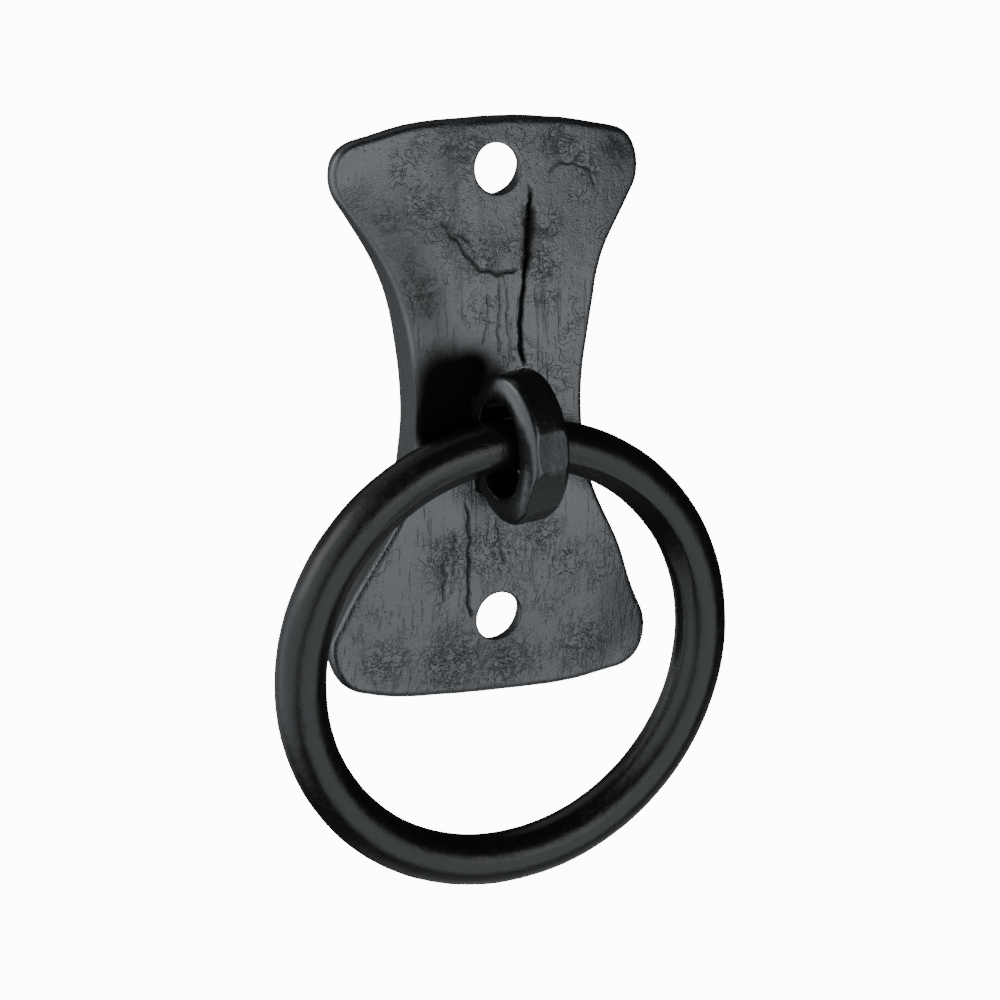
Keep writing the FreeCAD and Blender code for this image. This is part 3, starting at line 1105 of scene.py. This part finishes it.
    def edge_rows(self, outline: Points, outward: Points, start: Points) -> list[Points]:
        """Rows of points down the plate's edge to its back.

        Args:
            outline: the outline's points.
            outward: its normals.
            start: y of the first row at each point.

        Returns:
            The rows.
        """
        rows = []
        for part in np.linspace(0.0, 1.0, self.wall_rows):
            y = start + (-self.back_round - start) * part
            place = np.column_stack((outline[:, 0], y, outline[:, 1]))
            swell = math.sin(math.pi * part) * self.edge_swell.over(self.noise, place)
            shift = outward * swell[:, None]
            rows.append(place + np.column_stack((shift[:, 0], 0 * y, shift[:, 1])))
        for turn in (math.pi / 6, math.pi / 3, math.pi / 2):
            inset = self.back_round * (1.0 - math.cos(turn))
            loop = outline - outward * inset
            rows.append(upright(loop, -self.back_round * (1.0 - math.sin(turn))))
        return rows

    def hole_rows(self, z: float) -> list[Points]:
        """Rows of points down the wall of a screw hole.

        Args:
            z: the hole's height.

        Returns:
            The rows.
        """
        start = self.front(self.hole_loop(z, self.hole_radius)) + self.hole_round
        rows = []
        for part in np.linspace(0.0, 1.0, self.wall_rows):
            wider = (self.hole_back - self.hole_radius) * part**self.hole_flare
            bore = self.hole_loop(z, self.hole_radius + wider)
            y = start + (-self.back_round - start) * part
            rows.append(np.column_stack((bore[:, 0], y, bore[:, 1])))
        for turn in (math.pi / 4, math.pi / 2):
            loop = self.hole_loop(z, self.hole_back + self.back_round * (1.0 - math.cos(turn)))
            rows.append(upright(loop, -self.back_round * (1.0 - math.sin(turn))))
        return rows

    def slot_rows(self, front_loop: Points, back_loop: Points) -> list[Points]:
        """Rows of points through the plate along a tenon's way.

        Args:
            front_loop: the way's loop at the front, as rows of x, z.
            back_loop: its loop at the back.

        Returns:
            The rows.
        """
        deep = self.front(front_loop)
        rows = []
        for part in np.linspace(0.0, 1.0, self.slot_rows_through):
            loop = front_loop + (back_loop - front_loop) * part
            rows.append(np.column_stack((loop[:, 0], deep * (1.0 - part), loop[:, 1])))
        return rows

    def field(self, outline: Points, spacing: float, margin: float,
              holes: list[tuple[float, float]], slots: list[Points]) -> Points:
        """Points of an even grid inside a face.

        Args:
            outline: the plate's outline.
            spacing: the grid's step.
            margin: how far the points keep from the outline.
            holes: height and radius to keep clear round each screw hole.
            slots: loops of the tenon slots to keep clear of.

        Returns:
            Rows of x, z.
        """
        xs = np.arange(*self.grid_x, spacing)
        zs = np.arange(*self.grid_z, spacing * math.sqrt(3.0) / 2.0)
        grid = np.array([(x + (row % 2) * spacing / 2.0, z) for row, z in enumerate(zs) for x in xs])
        grid = grid[inside_loop(grid, outline)]
        grid = grid[distance_to_path(grid, outline, closed=True)[0] > margin]
        for z, radius in holes:
            grid = grid[np.hypot(grid[:, 0] - self.hole_side, grid[:, 1] - z) > radius]
        for slot in slots:
            grid = grid[~inside_loop(grid, slot)]
            grid = grid[distance_to_path(grid, slot, closed=True)[0] > spacing * self.slot_margin]
        return grid

    def with_crack_detail(self, grid: Points, outline: Points, slots: list[Points]) -> Points:
        """Replace the grid's points beside each crack with finer ones.

        Args:
            grid: the even grid.
            outline: the plate's outline.
            slots: loops of the tenon slots to keep clear of.

        Returns:
            Rows of x, z.
        """
        holes = [(z, self.hole_radius + self.crack_hole_margin)
                 for z in (self.hole_spacing / 2, -self.hole_spacing / 2)]
        fine = self.field(outline, self.crack_grid, self.crack_margin, holes, slots)
        near_fine, near_grid = self.beside_cracks(fine), self.beside_cracks(grid)
        near_edge = distance_to_path(grid, outline, closed=True)[0] <= self.crack_edge_margin
        return np.vstack((grid[~near_grid | near_edge], fine[near_fine]))

    def beside_cracks(self, places: Points) -> Points:
        """Which places lie in a crack or close beside one.

        Args:
            places: rows of x, z.

        Returns:
            True or False for each place.
        """
        ragged = self.ragged(places)
        near = np.zeros(len(places), dtype=bool)
        for groove in self.grooves:
            gap, _ = distance_to_path(ragged, np.array(groove.path))
            near |= gap < groove.width * self.crack_spread
        return near

    def mark_rough(self, piece: bpy.types.Object) -> None:
        """Store how scaly and drawn out each point is, where painted shade darkens the cracks, and
        where painted shadow and shade darken the plate, for the paint.

        Args:
            piece: the plate.
        """
        mesh = piece.data
        spots = np.empty(len(mesh.vertices) * 3)
        mesh.vertices.foreach_get("co", spots)
        spots = spots.reshape(-1, 3) / MM
        places = spots[:, [0, 2]]
        below = spots[:, 1] - self.front(places)
        on_front = 1.0 - smooth_step(below, *self.front_depth)
        # painted shadow beside the eye and ring, and painted shade on the walls and back
        shadow_patches = sum(patch.over(places) for patch in self.shadow_patches) * self.shadow_patch_strength
        shadow_patches = np.minimum(shadow_patches, 1.0) * on_front
        shadow_patches = np.maximum(shadow_patches, self.edge_shade * (1.0 - on_front))
        drawn_out = 1.0 - self.drawn_lost * smooth_step(places[:, 1], *self.drawn_fades_up)
        for name, strength in (("scaly", self.roughness(places) * on_front),
                               ("crack_shade", self.cracks(places) * on_front), ("shadow_paint", shadow_patches),
                               ("drawn_out", drawn_out)):
            mark = mesh.attributes.new(name, "FLOAT", "POINT")
            mark.data.foreach_set("value", strength)

    def dress(self, piece: bpy.types.Object) -> None:
        """Paint the plate, and hang it on its body in place of the drawn one.

        Args:
            piece: the plate.
        """
        wear_finish(piece, BlackPaint(
            "plate_black", "plate_paint", black=(0.007, 0.0073, 0.008), dusty=(0.017, 0.018, 0.0195),
            gloss=0.21, dull=0.36, specular=0.56, grain=0.8, grain_cell=0.3, scale_lines=0.5,
            forge_lines=0.7, marked=True))
        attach(piece, "plate")
        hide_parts("back_plate")


def inside_loop(points: Points, loop: Points) -> Points:
    """Test which points lie inside a closed path.

    Args:
        points: rows of two coordinates.
        loop: the path's points.

    Returns:
        True or False for each row.
    """
    inside = np.zeros(len(points), dtype=bool)
    x, z = points[:, 0], points[:, 1]
    for start, stop in zip(loop, np.roll(loop, -1, axis=0)):
        spans = (start[1] > z) != (stop[1] > z)
        rise = stop[1] - start[1]
        if rise:
            inside ^= spans & (x < start[0] + (z - start[1]) * (stop[0] - start[0]) / rise)
    return inside


# --- the strap eye --------------------------------------------------------------------------------


@dataclass
class SlotWay:
    """The slanting way of one tenon through the plate, as a loop in the eye's own frame."""

    place: Matrix
    loop: Points

    def loop_at(self, y: float) -> Points:
        """Where the way crosses a plane parallel to the door.

        Args:
            y: the plane's y in millimetres.

        Returns:
            Rows of x, z.
        """
        turn = np.array(self.place.to_3x3())
        origin = np.array(self.place.translation)
        x, z = self.loop[:, 0], self.loop[:, 1]
        deep = (y - origin[1] - turn[1, 0] * x - turn[1, 2] * z) / turn[1, 1]
        spots = np.column_stack((x, deep, z)) @ turn.T + origin
        return spots[:, [0, 2]]


@dataclass
class StrapEye:
    """The eye: a flat strap bent into a loop, its two tenons let through the plate and riveted."""

    width: float = 6.4
    foot: float = 8.3
    drop: float = 6.6
    side: float = 1.2
    turn: float = 12.0
    clock: float = 4.0
    reach: float = 14.8
    bend_rise: float = 5.25
    bend: float = 6.6
    bend_reach: float = 6.1
    gap_reach: float = 9.5
    gap_rise: float = 3.2
    gap_bend: float = 4.2
    gap_bend_reach: float = 4.6
    tenon_inner: float = 3.3
    tenon_length: float = 7.65
    slot_gap: float = 0.1
    corner: float = 0.85
    crown: float = 0.5
    crown_level: float = 0.75
    crown_starts: tuple[float, float] = (0.5, 4.0)
    around: int = 88
    tenon_rows: int = 34
    tenon_stop: float = 0.15
    loop_rows: int = 120
    end_shrink: tuple[float, float, float] = (0.9, 1.0, 0.86)
    end_round: float = 0.1
    end_crown: float = 0.12
    flats: tuple[Flat, ...] = (
        Flat((0.15, -1.0, 0.42), 14.75),
        Flat((0.0, -1.0, 0.04), 14.5),
        Flat((-0.15, -1.0, -0.55), 14.2),
        Flat((0.0, -0.75, -1.0), 14.1),
    )
    struck_from: tuple[float, float] = (0.5, 2.5)
    struck_off: float = 0.04
    waves: Ripple = Ripple(0.07, 3.6)
    loop_middle: float = 5.5
    outer_skin: tuple[float, float] = (5.5, 7.5)
    noise: HammerNoise = field(default_factory=lambda: HammerNoise(23))

    def place(self) -> Matrix:
        """Where the eye's own frame stands in the object's.

        Returns:
            The matrix, in millimetres.
        """
        turned = Matrix.Rotation(math.radians(self.turn), 4, "Z")
        clocked = Matrix.Rotation(math.radians(-self.clock), 4, "Y")
        return Matrix.Translation((-self.side, -self.foot, -self.drop)) @ turned @ clocked

    @property
    def tenon_outer(self) -> float:
        """Height of the tenon's outer face above the eye's middle."""
        return self.bend_rise + math.sqrt(self.bend**2 - self.bend_reach**2)

    def half_outline(self, reach: float, bend_reach: float, bend_rise: float, bend: float,
                     foot_angle: float) -> Points:
        """Upper half of the loop's inner or outer outline, from the plate to the front.

        Args:
            reach: how far the outline stands out at its front.
            bend_reach: distance of the bend's centre from the plate.
            bend_rise: height of the bend's centre.
            bend: the bend's radius.
            foot_angle: the bend's angle at the plate, in radians.

        Returns:
            Rows of reach and rise, evenly spaced.
        """
        span = reach - bend_reach
        radius = (bend_rise**2 + span**2 - bend**2) / (2.0 * (span - bend))
        middle = reach - radius
        meet = math.atan2(bend_rise, bend_reach - middle)
        bent = arc_run((bend_reach, bend_rise), bend, foot_angle, meet)
        nose = arc_run((middle, 0.0), radius, meet, 0.0)
        path = np.vstack((bent, nose, [[reach, 0.0]]))
        walked = path_marks(path)
        return along_path(path, walked, np.linspace(0.0, walked[-1], self.loop_rows))

    def stations(self) -> tuple[Points, Points]:
        """Inner and outer points of the strap, from one tenon's end round to the other's.

        Returns:
            Rows of reach and rise for the inner side, and for the outer side.
        """
        outer_foot = math.pi - math.asin((self.tenon_outer - self.bend_rise) / self.bend)
        outer = self.half_outline(self.reach, self.bend_reach, self.bend_rise, self.bend, outer_foot)
        inner = self.half_outline(self.gap_reach, self.gap_bend_reach, self.gap_rise, self.gap_bend,
                                  math.pi)
        back = np.linspace(-self.tenon_length, -self.tenon_stop, self.tenon_rows)
        inner = np.vstack((np.column_stack((back, np.full(len(back), self.tenon_inner))), inner))
        outer = np.vstack((np.column_stack((back, np.full(len(back), self.tenon_outer))), outer))
        mirror = np.array((1.0, -1.0))
        return (np.vstack((inner, (inner * mirror)[-2::-1])),
                np.vstack((outer, (outer * mirror)[-2::-1])))

    def slots(self) -> list[SlotWay]:
        """The two ways that the tenons need through the plate.

        Returns:
            The upper and the lower way.
        """
        half_x = self.width / 2 + self.slot_gap
        low, high = self.tenon_inner - self.slot_gap, self.tenon_outer + self.slot_gap
        half_z = (high - low) / 2
        angles = -np.linspace(0.0, 2.0 * math.pi, LOOP_POINTS, endpoint=False)
        loop = squared_circle(angles, half_x, half_z, self.corner)
        return [SlotWay(self.place(), loop + (0.0, sign * (low + high) / 2)) for sign in (1.0, -1.0)]

    def build(self) -> bpy.types.Object:
        """Make the eye.

        Returns:
            The finished mesh object.
        """
        inner, outer = self.stations()
        angles = np.linspace(0.0, 2.0 * math.pi, self.around, endpoint=False)
        rows = []
        for inside, outside in zip(inner, outer):
            through = outside - inside
            thick = np.linalg.norm(through)
            section = squared_circle(angles, self.width / 2, thick / 2, self.corner)
            centre = (inside + outside) / 2
            free = smooth_step(centre[:1], *self.crown_starts)[0]
            bulge = self.crown * free * (self.crown_level - (section[:, 1] * 2.0 / thick) ** 2)
            section[:, 0] *= 1.0 + bulge / (self.width / 2)
            spot = centre + np.outer(section[:, 1], through / thick)
            rows.append(np.column_stack((section[:, 0], -spot[:, 0], spot[:, 1])))
        for index in (0, -1):
            rows[index] = self.shrunk(rows[index])
        points = self.hammered(np.vstack(rows))
        faces: list[tuple[int, ...]] = list(tube_faces(len(rows), self.around))
        count = len(rows) * self.around
        for first in (0, count - self.around):
            ring = points[first:first + self.around]
            points = np.vstack((points, ring.mean(axis=0) + (0.0, self.end_crown, 0.0)))
            hub = len(points) - 1
            faces += [(hub, first + step, first + (step + 1) % self.around)
                      for step in range(self.around)]
        place = np.array(self.place())
        points = points @ place[:3, :3].T + place[:3, 3]
        return solid_mesh("strap_eye_forged", points, faces)

    def shrunk(self, ring: Points) -> Points:
        """The last ring of a tenon, drawn in to round its end."""
        middle = ring.mean(axis=0)
        return middle + (ring - middle) * self.end_shrink + (0.0, self.end_round, 0.0)

    def hammered(self, points: Points) -> Points:
        """Leave hammer marks on the strap.

        Args:
            points: rows of x, y, z in the eye's frame.

        Returns:
            The moved points.
        """
        free = smooth_step(-points[:, 1], *self.struck_from)[:, None]
        struck = strike_flats(points, self.flats)
        wave = self.waves.over(self.noise, points)
        out = points + (0.0, self.loop_middle, 0.0)
        outer = smooth_step(np.hypot(out[:, 1], out[:, 2]), *self.outer_skin)[:, None]
        out = out / np.linalg.norm(out, axis=1)[:, None]
        moved = struck - out * (self.struck_off + wave[:, None]) * outer
        return points + (moved - points) * free

    def dress(self, piece: bpy.types.Object) -> None:
        """Paint the eye, and hang it on its body in place of the drawn one.

        Args:
            piece: the eye.
        """
        wear_finish(piece, BlackPaint(
            "eye_black", "eye_paint", black=(0.002, 0.002, 0.0021), dusty=(0.006, 0.0062, 0.0065),
            gloss=0.22, dull=0.34, specular=0.42, grain=0.14, scale_lines=0.1))
        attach(piece, "plate")
        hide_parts("strap_eye")


def squared_circle(angles: Points, half_x: float, half_z: float, corner: float) -> Points:
    """A rectangle with rounded corners, read at angles round it.

    Args:
        angles: where to read it, in radians.
        half_x: half its width.
        half_z: half its height.
        corner: radius of its corners.

    Returns:
        Rows of two coordinates.
    """
    fine = np.linspace(0.0, math.pi / 2, CORNER_POINTS)
    flat_x, flat_z = half_x - corner, half_z - corner
    runs = []
    for number, (sx, sz) in enumerate(((1, 1), (-1, 1), (-1, -1), (1, -1))):
        start = number * math.pi / 2
        runs.append(np.column_stack((sx * flat_x + corner * np.cos(start + fine),
                                     sz * flat_z + corner * np.sin(start + fine))))
    path = np.vstack(runs)
    closed = np.vstack((path, path[:1]))
    walked = path_marks(closed)
    marks = (angles % (2.0 * math.pi)) / (2.0 * math.pi) * walked[-1]
    return along_path(closed, walked, marks)


# --- the ring -------------------------------------------------------------------------------------


@dataclass(frozen=True)
class RingFlat:
    """A long flat on the ring beside the eye: which way it faces, where it runs and its depth.

    The turn is in radians from the ring's inner side to its front. The start and stop are in
    radians round the ring from its top, and the strength is a share of the tree's Flat Depth.
    """

    turn: float
    start: float
    stop: float
    strength: float


@dataclass
class KnockerRing:
    """The ring: a round bar bent and welded, flattened by the hammer beside the eye."""

    bar_dia: float = 8.0
    ring_dia: float = 68.2
    drop: float = 6.6
    stand: float = 12.5
    door_gap: float = 0.05
    along: int = 620
    around: int = 120
    flat_depth: float = 0.30
    flats: tuple[RingFlat, ...] = (
        RingFlat(0.75, 0.22, 1.45, 1.0),
        RingFlat(0.15, 0.22, 0.95, 0.45),
        RingFlat(1.35, 0.25, 0.9, 0.4),
    )
    flat_lead_in: float = 0.12
    flat_run_out: float = 0.45
    uneven_cell: float = 9.0
    ripple_cell: float = 2.4
    flat_uneven: float = 0.9
    flat_ripple: float = 0.35
    swell_uneven: float = 0.22
    swell_ripple: float = 0.06
    swell_down: float = 0.01
    least_radius: float = 0.01
    seed: float = 3.7

    def lean(self) -> float:
        """How far the ring leans back from upright to rest on the door, in radians."""
        return math.asin((self.stand - self.bar_dia / 2 - self.door_gap) / self.ring_dia)

    def tree(self) -> bpy.types.NodeTree:
        """Build the geometry nodes of the forged ring.

        Returns:
            The node group, with named inputs for the ring's sizes.
        """
        group = bpy.data.node_groups.new("forged_ring", "GeometryNodeTree")
        face = group.interface
        face.new_socket("Geometry", in_out="INPUT", socket_type="NodeSocketGeometry")
        for name in ("Ring Radius", "Bar Radius", "Flat Depth", "Lean", "Stand", "Drop", "Seed"):
            face.new_socket(name, in_out="INPUT", socket_type="NodeSocketFloat")
        face.new_socket("Paint", in_out="INPUT", socket_type="NodeSocketMaterial")
        face.new_socket("Geometry", in_out="OUTPUT", socket_type="NodeSocketGeometry")
        tree = Tree(group)
        source = group.nodes.new("NodeGroupInput")
        given = {socket.name: Term(tree, socket) for socket in source.outputs if socket.name}

        big = tree.node("GeometryNodeCurvePrimitiveCircle", {"mode": "RADIUS"},
                        {"Resolution": self.along, "Radius": given["Ring Radius"]})
        bar = tree.node("GeometryNodeCurvePrimitiveCircle", {"mode": "RADIUS"},
                        {"Resolution": self.around, "Radius": given["Bar Radius"]})
        swept = tree.node("GeometryNodeCurveToMesh", None, {"Curve": big, "Profile Curve": bar})
        moved = tree.node("GeometryNodeSetPosition", None,
                          {"Geometry": swept, "Position": self.forged_place(tree, given)})
        smooth = tree.node("GeometryNodeSetShadeSmooth", None, {"Geometry": moved})
        real = tree.node("GeometryNodeRealizeInstances", None, {"Geometry": smooth})
        painted = tree.node("GeometryNodeSetMaterial", None,
                            {"Geometry": real, "Material": given["Paint"]})
        tree.node("NodeGroupOutput", None, {"Geometry": painted})
        return group

    def forged_place(self, tree: Tree, given: dict[str, Term]) -> Term:
        """Where each point of the plain ring goes.

        Args:
            tree: the ring's node tree.
            given: the tree's inputs.

        Returns:
            The new position.
        """
        spot = tree.node("GeometryNodeInputPosition")
        split = tree.nodes.nodes.new("ShaderNodeSeparateXYZ")
        tree.feed(split.inputs[0], spot)
        x, y, front = (Term(tree, socket) for socket in split.outputs)
        reach = (x * x + y * y).power(0.5)
        radial = reach - given["Ring Radius"]
        angle = tree.node("ShaderNodeMath", {"operation": "ARCTAN2"}, {0: x, 1: y})
        shift = tree.node("ShaderNodeCombineXYZ", None, {"X": given["Seed"]})
        noise_place = tree.node("ShaderNodeVectorMath", {"operation": "ADD"},
                                {0: spot, 1: shift}, "Vector")
        uneven = tree.noise(noise_place, self.uneven_cell, 2.0, 0.5) - 0.5
        ripple = tree.noise(noise_place, self.ripple_cell, 2.0, 0.55) - 0.5
        away = angle.size()
        waver = 1.0 + uneven * self.flat_uneven + ripple * self.flat_ripple
        for flat in self.flats:
            out_radial, out_front = -math.cos(flat.turn), math.sin(flat.turn)
            near = (away.ramp(flat.start - self.flat_lead_in, flat.start)
                    * (1.0 - away.ramp(flat.stop - self.flat_run_out, flat.stop)))
            depth = given["Flat Depth"] * (near * flat.strength) * waver
            proud = (radial * out_radial + front * out_front
                     - (given["Bar Radius"] - depth)).most(0.0)
            radial = radial - proud * out_radial
            front = front - proud * out_front
        section = (radial * radial + front * front).power(0.5).most(self.least_radius * MM)
        swell = (uneven * (self.swell_uneven * MM) - self.swell_down * MM
                 + ripple * (self.swell_ripple * MM))
        swell = 1.0 + swell / section
        radial = radial * swell
        front = front * swell
        scale = (given["Ring Radius"] + radial) / reach
        flat_x, flat_z = x * scale, y * scale - given["Ring Radius"]
        lean_sine, lean_cosine = given["Lean"].sine(), given["Lean"].cosine()
        out_y = 0.0 - given["Stand"] - front * lean_cosine - flat_z * lean_sine
        out_z = flat_z * lean_cosine - front * lean_sine - given["Drop"]
        return tree.node("ShaderNodeCombineXYZ", None, {"X": flat_x, "Y": out_y, "Z": out_z})

    def build(self, paint: bpy.types.Material) -> bpy.types.Object:
        """Make the ring.

        Args:
            paint: its material.

        Returns:
            The finished mesh object.
        """
        holder = in_scene("ring_holder", bpy.data.meshes.new("ring_holder"))
        nodes = holder.modifiers.new("forged_ring", "NODES")
        nodes.node_group = self.tree()
        sizes = {
            "Ring Radius": self.ring_dia / 2 * MM, "Bar Radius": self.bar_dia / 2 * MM,
            "Flat Depth": self.flat_depth * MM, "Lean": self.lean(), "Stand": self.stand * MM,
            "Drop": self.drop * MM, "Seed": self.seed, "Paint": paint,
        }
        for socket in nodes.node_group.interface.items_tree:
            if socket.in_out == "INPUT" and socket.name in sizes:
                nodes[socket.identifier] = sizes[socket.name]
        ready = holder.evaluated_get(bpy.context.evaluated_depsgraph_get())
        mesh = bpy.data.meshes.new_from_object(ready)
        bpy.data.objects.remove(holder)
        mesh.name = "knocker_ring_forged"
        return finished_piece(mesh)

    def dress(self, piece: bpy.types.Object) -> None:
        """Hang the ring on its body in place of the drawn one.

        Args:
            piece: the ring, which its node tree has painted.
        """
        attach(piece, "ring")
        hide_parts("knocker_ring")


# --- the studio -----------------------------------------------------------------------------------


@dataclass(frozen=True)
class Softbox:
    """A square area light aimed at the object: where it stands, its size and its strength."""

    name: str
    azimuth: float
    elevation: float
    distance: float
    size: float
    power: float

    def hang(self, aim: Vector) -> bpy.types.Object:
        """Add the light.

        Args:
            aim: the point that it faces.

        Returns:
            The light's object.
        """
        light = bpy.data.lights.new(self.name, "AREA")
        light.shape = "SQUARE"
        light.size = self.size
        light.energy = self.power
        box = in_scene(self.name, light)
        stand(box, aim, self.azimuth, self.elevation, self.distance)
        return box


@dataclass(frozen=True)
class Glow:
    """A soft bright area of the studio's walls: direction, full and outer half angles, light."""

    azimuth: float
    elevation: float
    full: float
    fades_at: float
    strength: float


def looking_from(azimuth: float, elevation: float) -> Vector:
    """Direction towards a viewer: azimuth 0 stands in front, and -90 at the left.

    Args:
        azimuth: in degrees.
        elevation: above the horizon, in degrees.

    Returns:
        A vector of length 1.
    """
    turn, rise = math.radians(azimuth), math.radians(elevation)
    return Vector((math.sin(turn) * math.cos(rise), -math.cos(turn) * math.cos(rise), math.sin(rise)))


def stand(thing: bpy.types.Object, aim: Vector, azimuth: float, elevation: float,
          distance: float) -> None:
    """Stand a light or camera off in a direction from a point, and face it there.

    Args:
        thing: the light's or camera's object.
        aim: the point that it faces.
        azimuth: in degrees.
        elevation: above the horizon, in degrees.
        distance: in metres.
    """
    thing.location = aim + looking_from(azimuth, elevation) * distance
    thing.rotation_euler = (aim - thing.location).to_track_quat("-Z", "Y").to_euler()


@dataclass
class Studio:
    """A pale lit floor, dark walls with soft bright areas, and a long lens."""

    azimuth: float = -24.87
    elevation: float = 11.72
    distance: float = 0.8101
    lens: float = 188.57
    aim: tuple[float, float, float] = (0.00069, -0.0055, -0.01664)
    floor_drop: float = -0.0955
    floor_half: float = 6.0
    floor_tone: float = 0.86
    floor_light: float = 12.0
    sensor: float = 36.0
    sees_from: float = 0.05
    sees_to: float = 60.0
    walls: float = 0.03
    wall_colour: tuple[float, float, float, float] = (0.90, 0.96, 1.0, 1.0)
    glows: tuple[Glow, ...] = (
        Glow(-86.0, 0.0, 30.0, 62.0, 3.0),
        Glow(-146.0, -8.0, 16.0, 36.0, 0.7),
        Glow(13.0, -19.0, 27.0, 46.0, 3.0),
        Glow(110.0, -60.0, 14.0, 44.0, 0.6),
        Glow(-150.0, 60.0, 10.0, 40.0, 0.8),
    )
    lights: tuple[Softbox, ...] = (
        Softbox("left_box", -100.0, 26.0, 1.5, 0.9, 7.0),
        Softbox("front_fill", 14.0, 8.0, 1.9, 1.0, 5.0),
    )

    def build(self) -> None:
        """Set up the floor, the lights, the walls and the camera."""
        half = self.floor_half
        mesh = bpy.data.meshes.new("studio_floor")
        corners = [(-half, -half), (half, -half), (half, half), (-half, half)]
        mesh.from_pydata([(x, y, self.floor_drop) for x, y in corners], [], [(0, 1, 2, 3)])
        floor = in_scene("studio_floor", mesh)
        floor.visible_glossy = floor.visible_diffuse = floor.visible_shadow = False
        mesh.materials.append(self.floor_paint())
        for light in self.lights:
            light.hang(Vector(self.aim))
        self.paint_walls()
        self.camera()

    def paint_walls(self) -> None:
        """Light the room: dark walls with soft bright areas."""
        world = bpy.data.worlds.new("studio")
        world.use_nodes = True
        world.node_tree.nodes.clear()
        tree = Tree(world.node_tree)
        towards = tree.node("ShaderNodeTexCoord", output="Generated")
        light: Term | float = self.walls
        for glow in self.glows:
            facing = tree.node("ShaderNodeVectorMath", {"operation": "DOT_PRODUCT"},
                               {0: towards, 1: looking_from(glow.azimuth, glow.elevation)}, "Value")
            light = light + facing.ramp(math.cos(math.radians(glow.fades_at)),
                                        math.cos(math.radians(glow.full)), 0.0, glow.strength)
        room = tree.node("ShaderNodeBackground", None,
                         {"Color": self.wall_colour, "Strength": light})
        tree.node("ShaderNodeOutputWorld", None, {"Surface": room})
        bpy.context.scene.world = world

    def floor_paint(self) -> bpy.types.Material:
        """A matt pale table top that is lit from itself.

        Returns:
            Its material.
        """
        paint = bpy.data.materials.new("studio_white")
        paint.use_nodes = True
        shader = paint.node_tree.nodes["Principled BSDF"]
        shader.inputs["Base Color"].default_value = (self.floor_tone,) * 3 + (1.0,)
        shader.inputs["Roughness"].default_value = 1.0
        shader.inputs["Specular IOR Level"].default_value = 0.0
        shader.inputs["Emission Color"].default_value = (1.0, 1.0, 1.0, 1.0)
        shader.inputs["Emission Strength"].default_value = self.floor_light
        return paint

    def camera(self) -> None:
        """Stand the camera."""
        lens = bpy.data.cameras.new("camera")
        lens.lens = self.lens
        lens.sensor_width = self.sensor
        lens.clip_start, lens.clip_end = self.sees_from, self.sees_to
        eye = in_scene("camera", lens)
        stand(eye, Vector(self.aim), self.azimuth, self.elevation, self.distance)
        bpy.context.scene.camera = eye


def main() -> None:
    """Build the knocker and its studio."""
    logging.basicConfig(level=logging.INFO, format="%(name)s: %(message)s")
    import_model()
    studio = Studio()
    studio.build()

    eye = StrapEye()
    plate = BackPlate()
    ring = KnockerRing()
    plate_piece = plate.build(eye.slots())
    plate.dress(plate_piece)
    eye_piece = eye.build()
    eye.dress(eye_piece)
    ring_finish = BlackPaint(
        "ring_black", "ring_paint", black=(0.0018, 0.0018, 0.0019), dusty=(0.0052, 0.0051, 0.0052),
        gloss=0.24, dull=0.36, specular=0.22, grain=0.25, scale_lines=0.1)
    ring_piece = ring.build(ring_finish.material())
    ring.dress(ring_piece)
    for piece in (plate_piece, eye_piece, ring_piece):
        log.info("%s: %d faces", piece.name, len(piece.data.polygons))


if __name__ == "__main__":
    main()
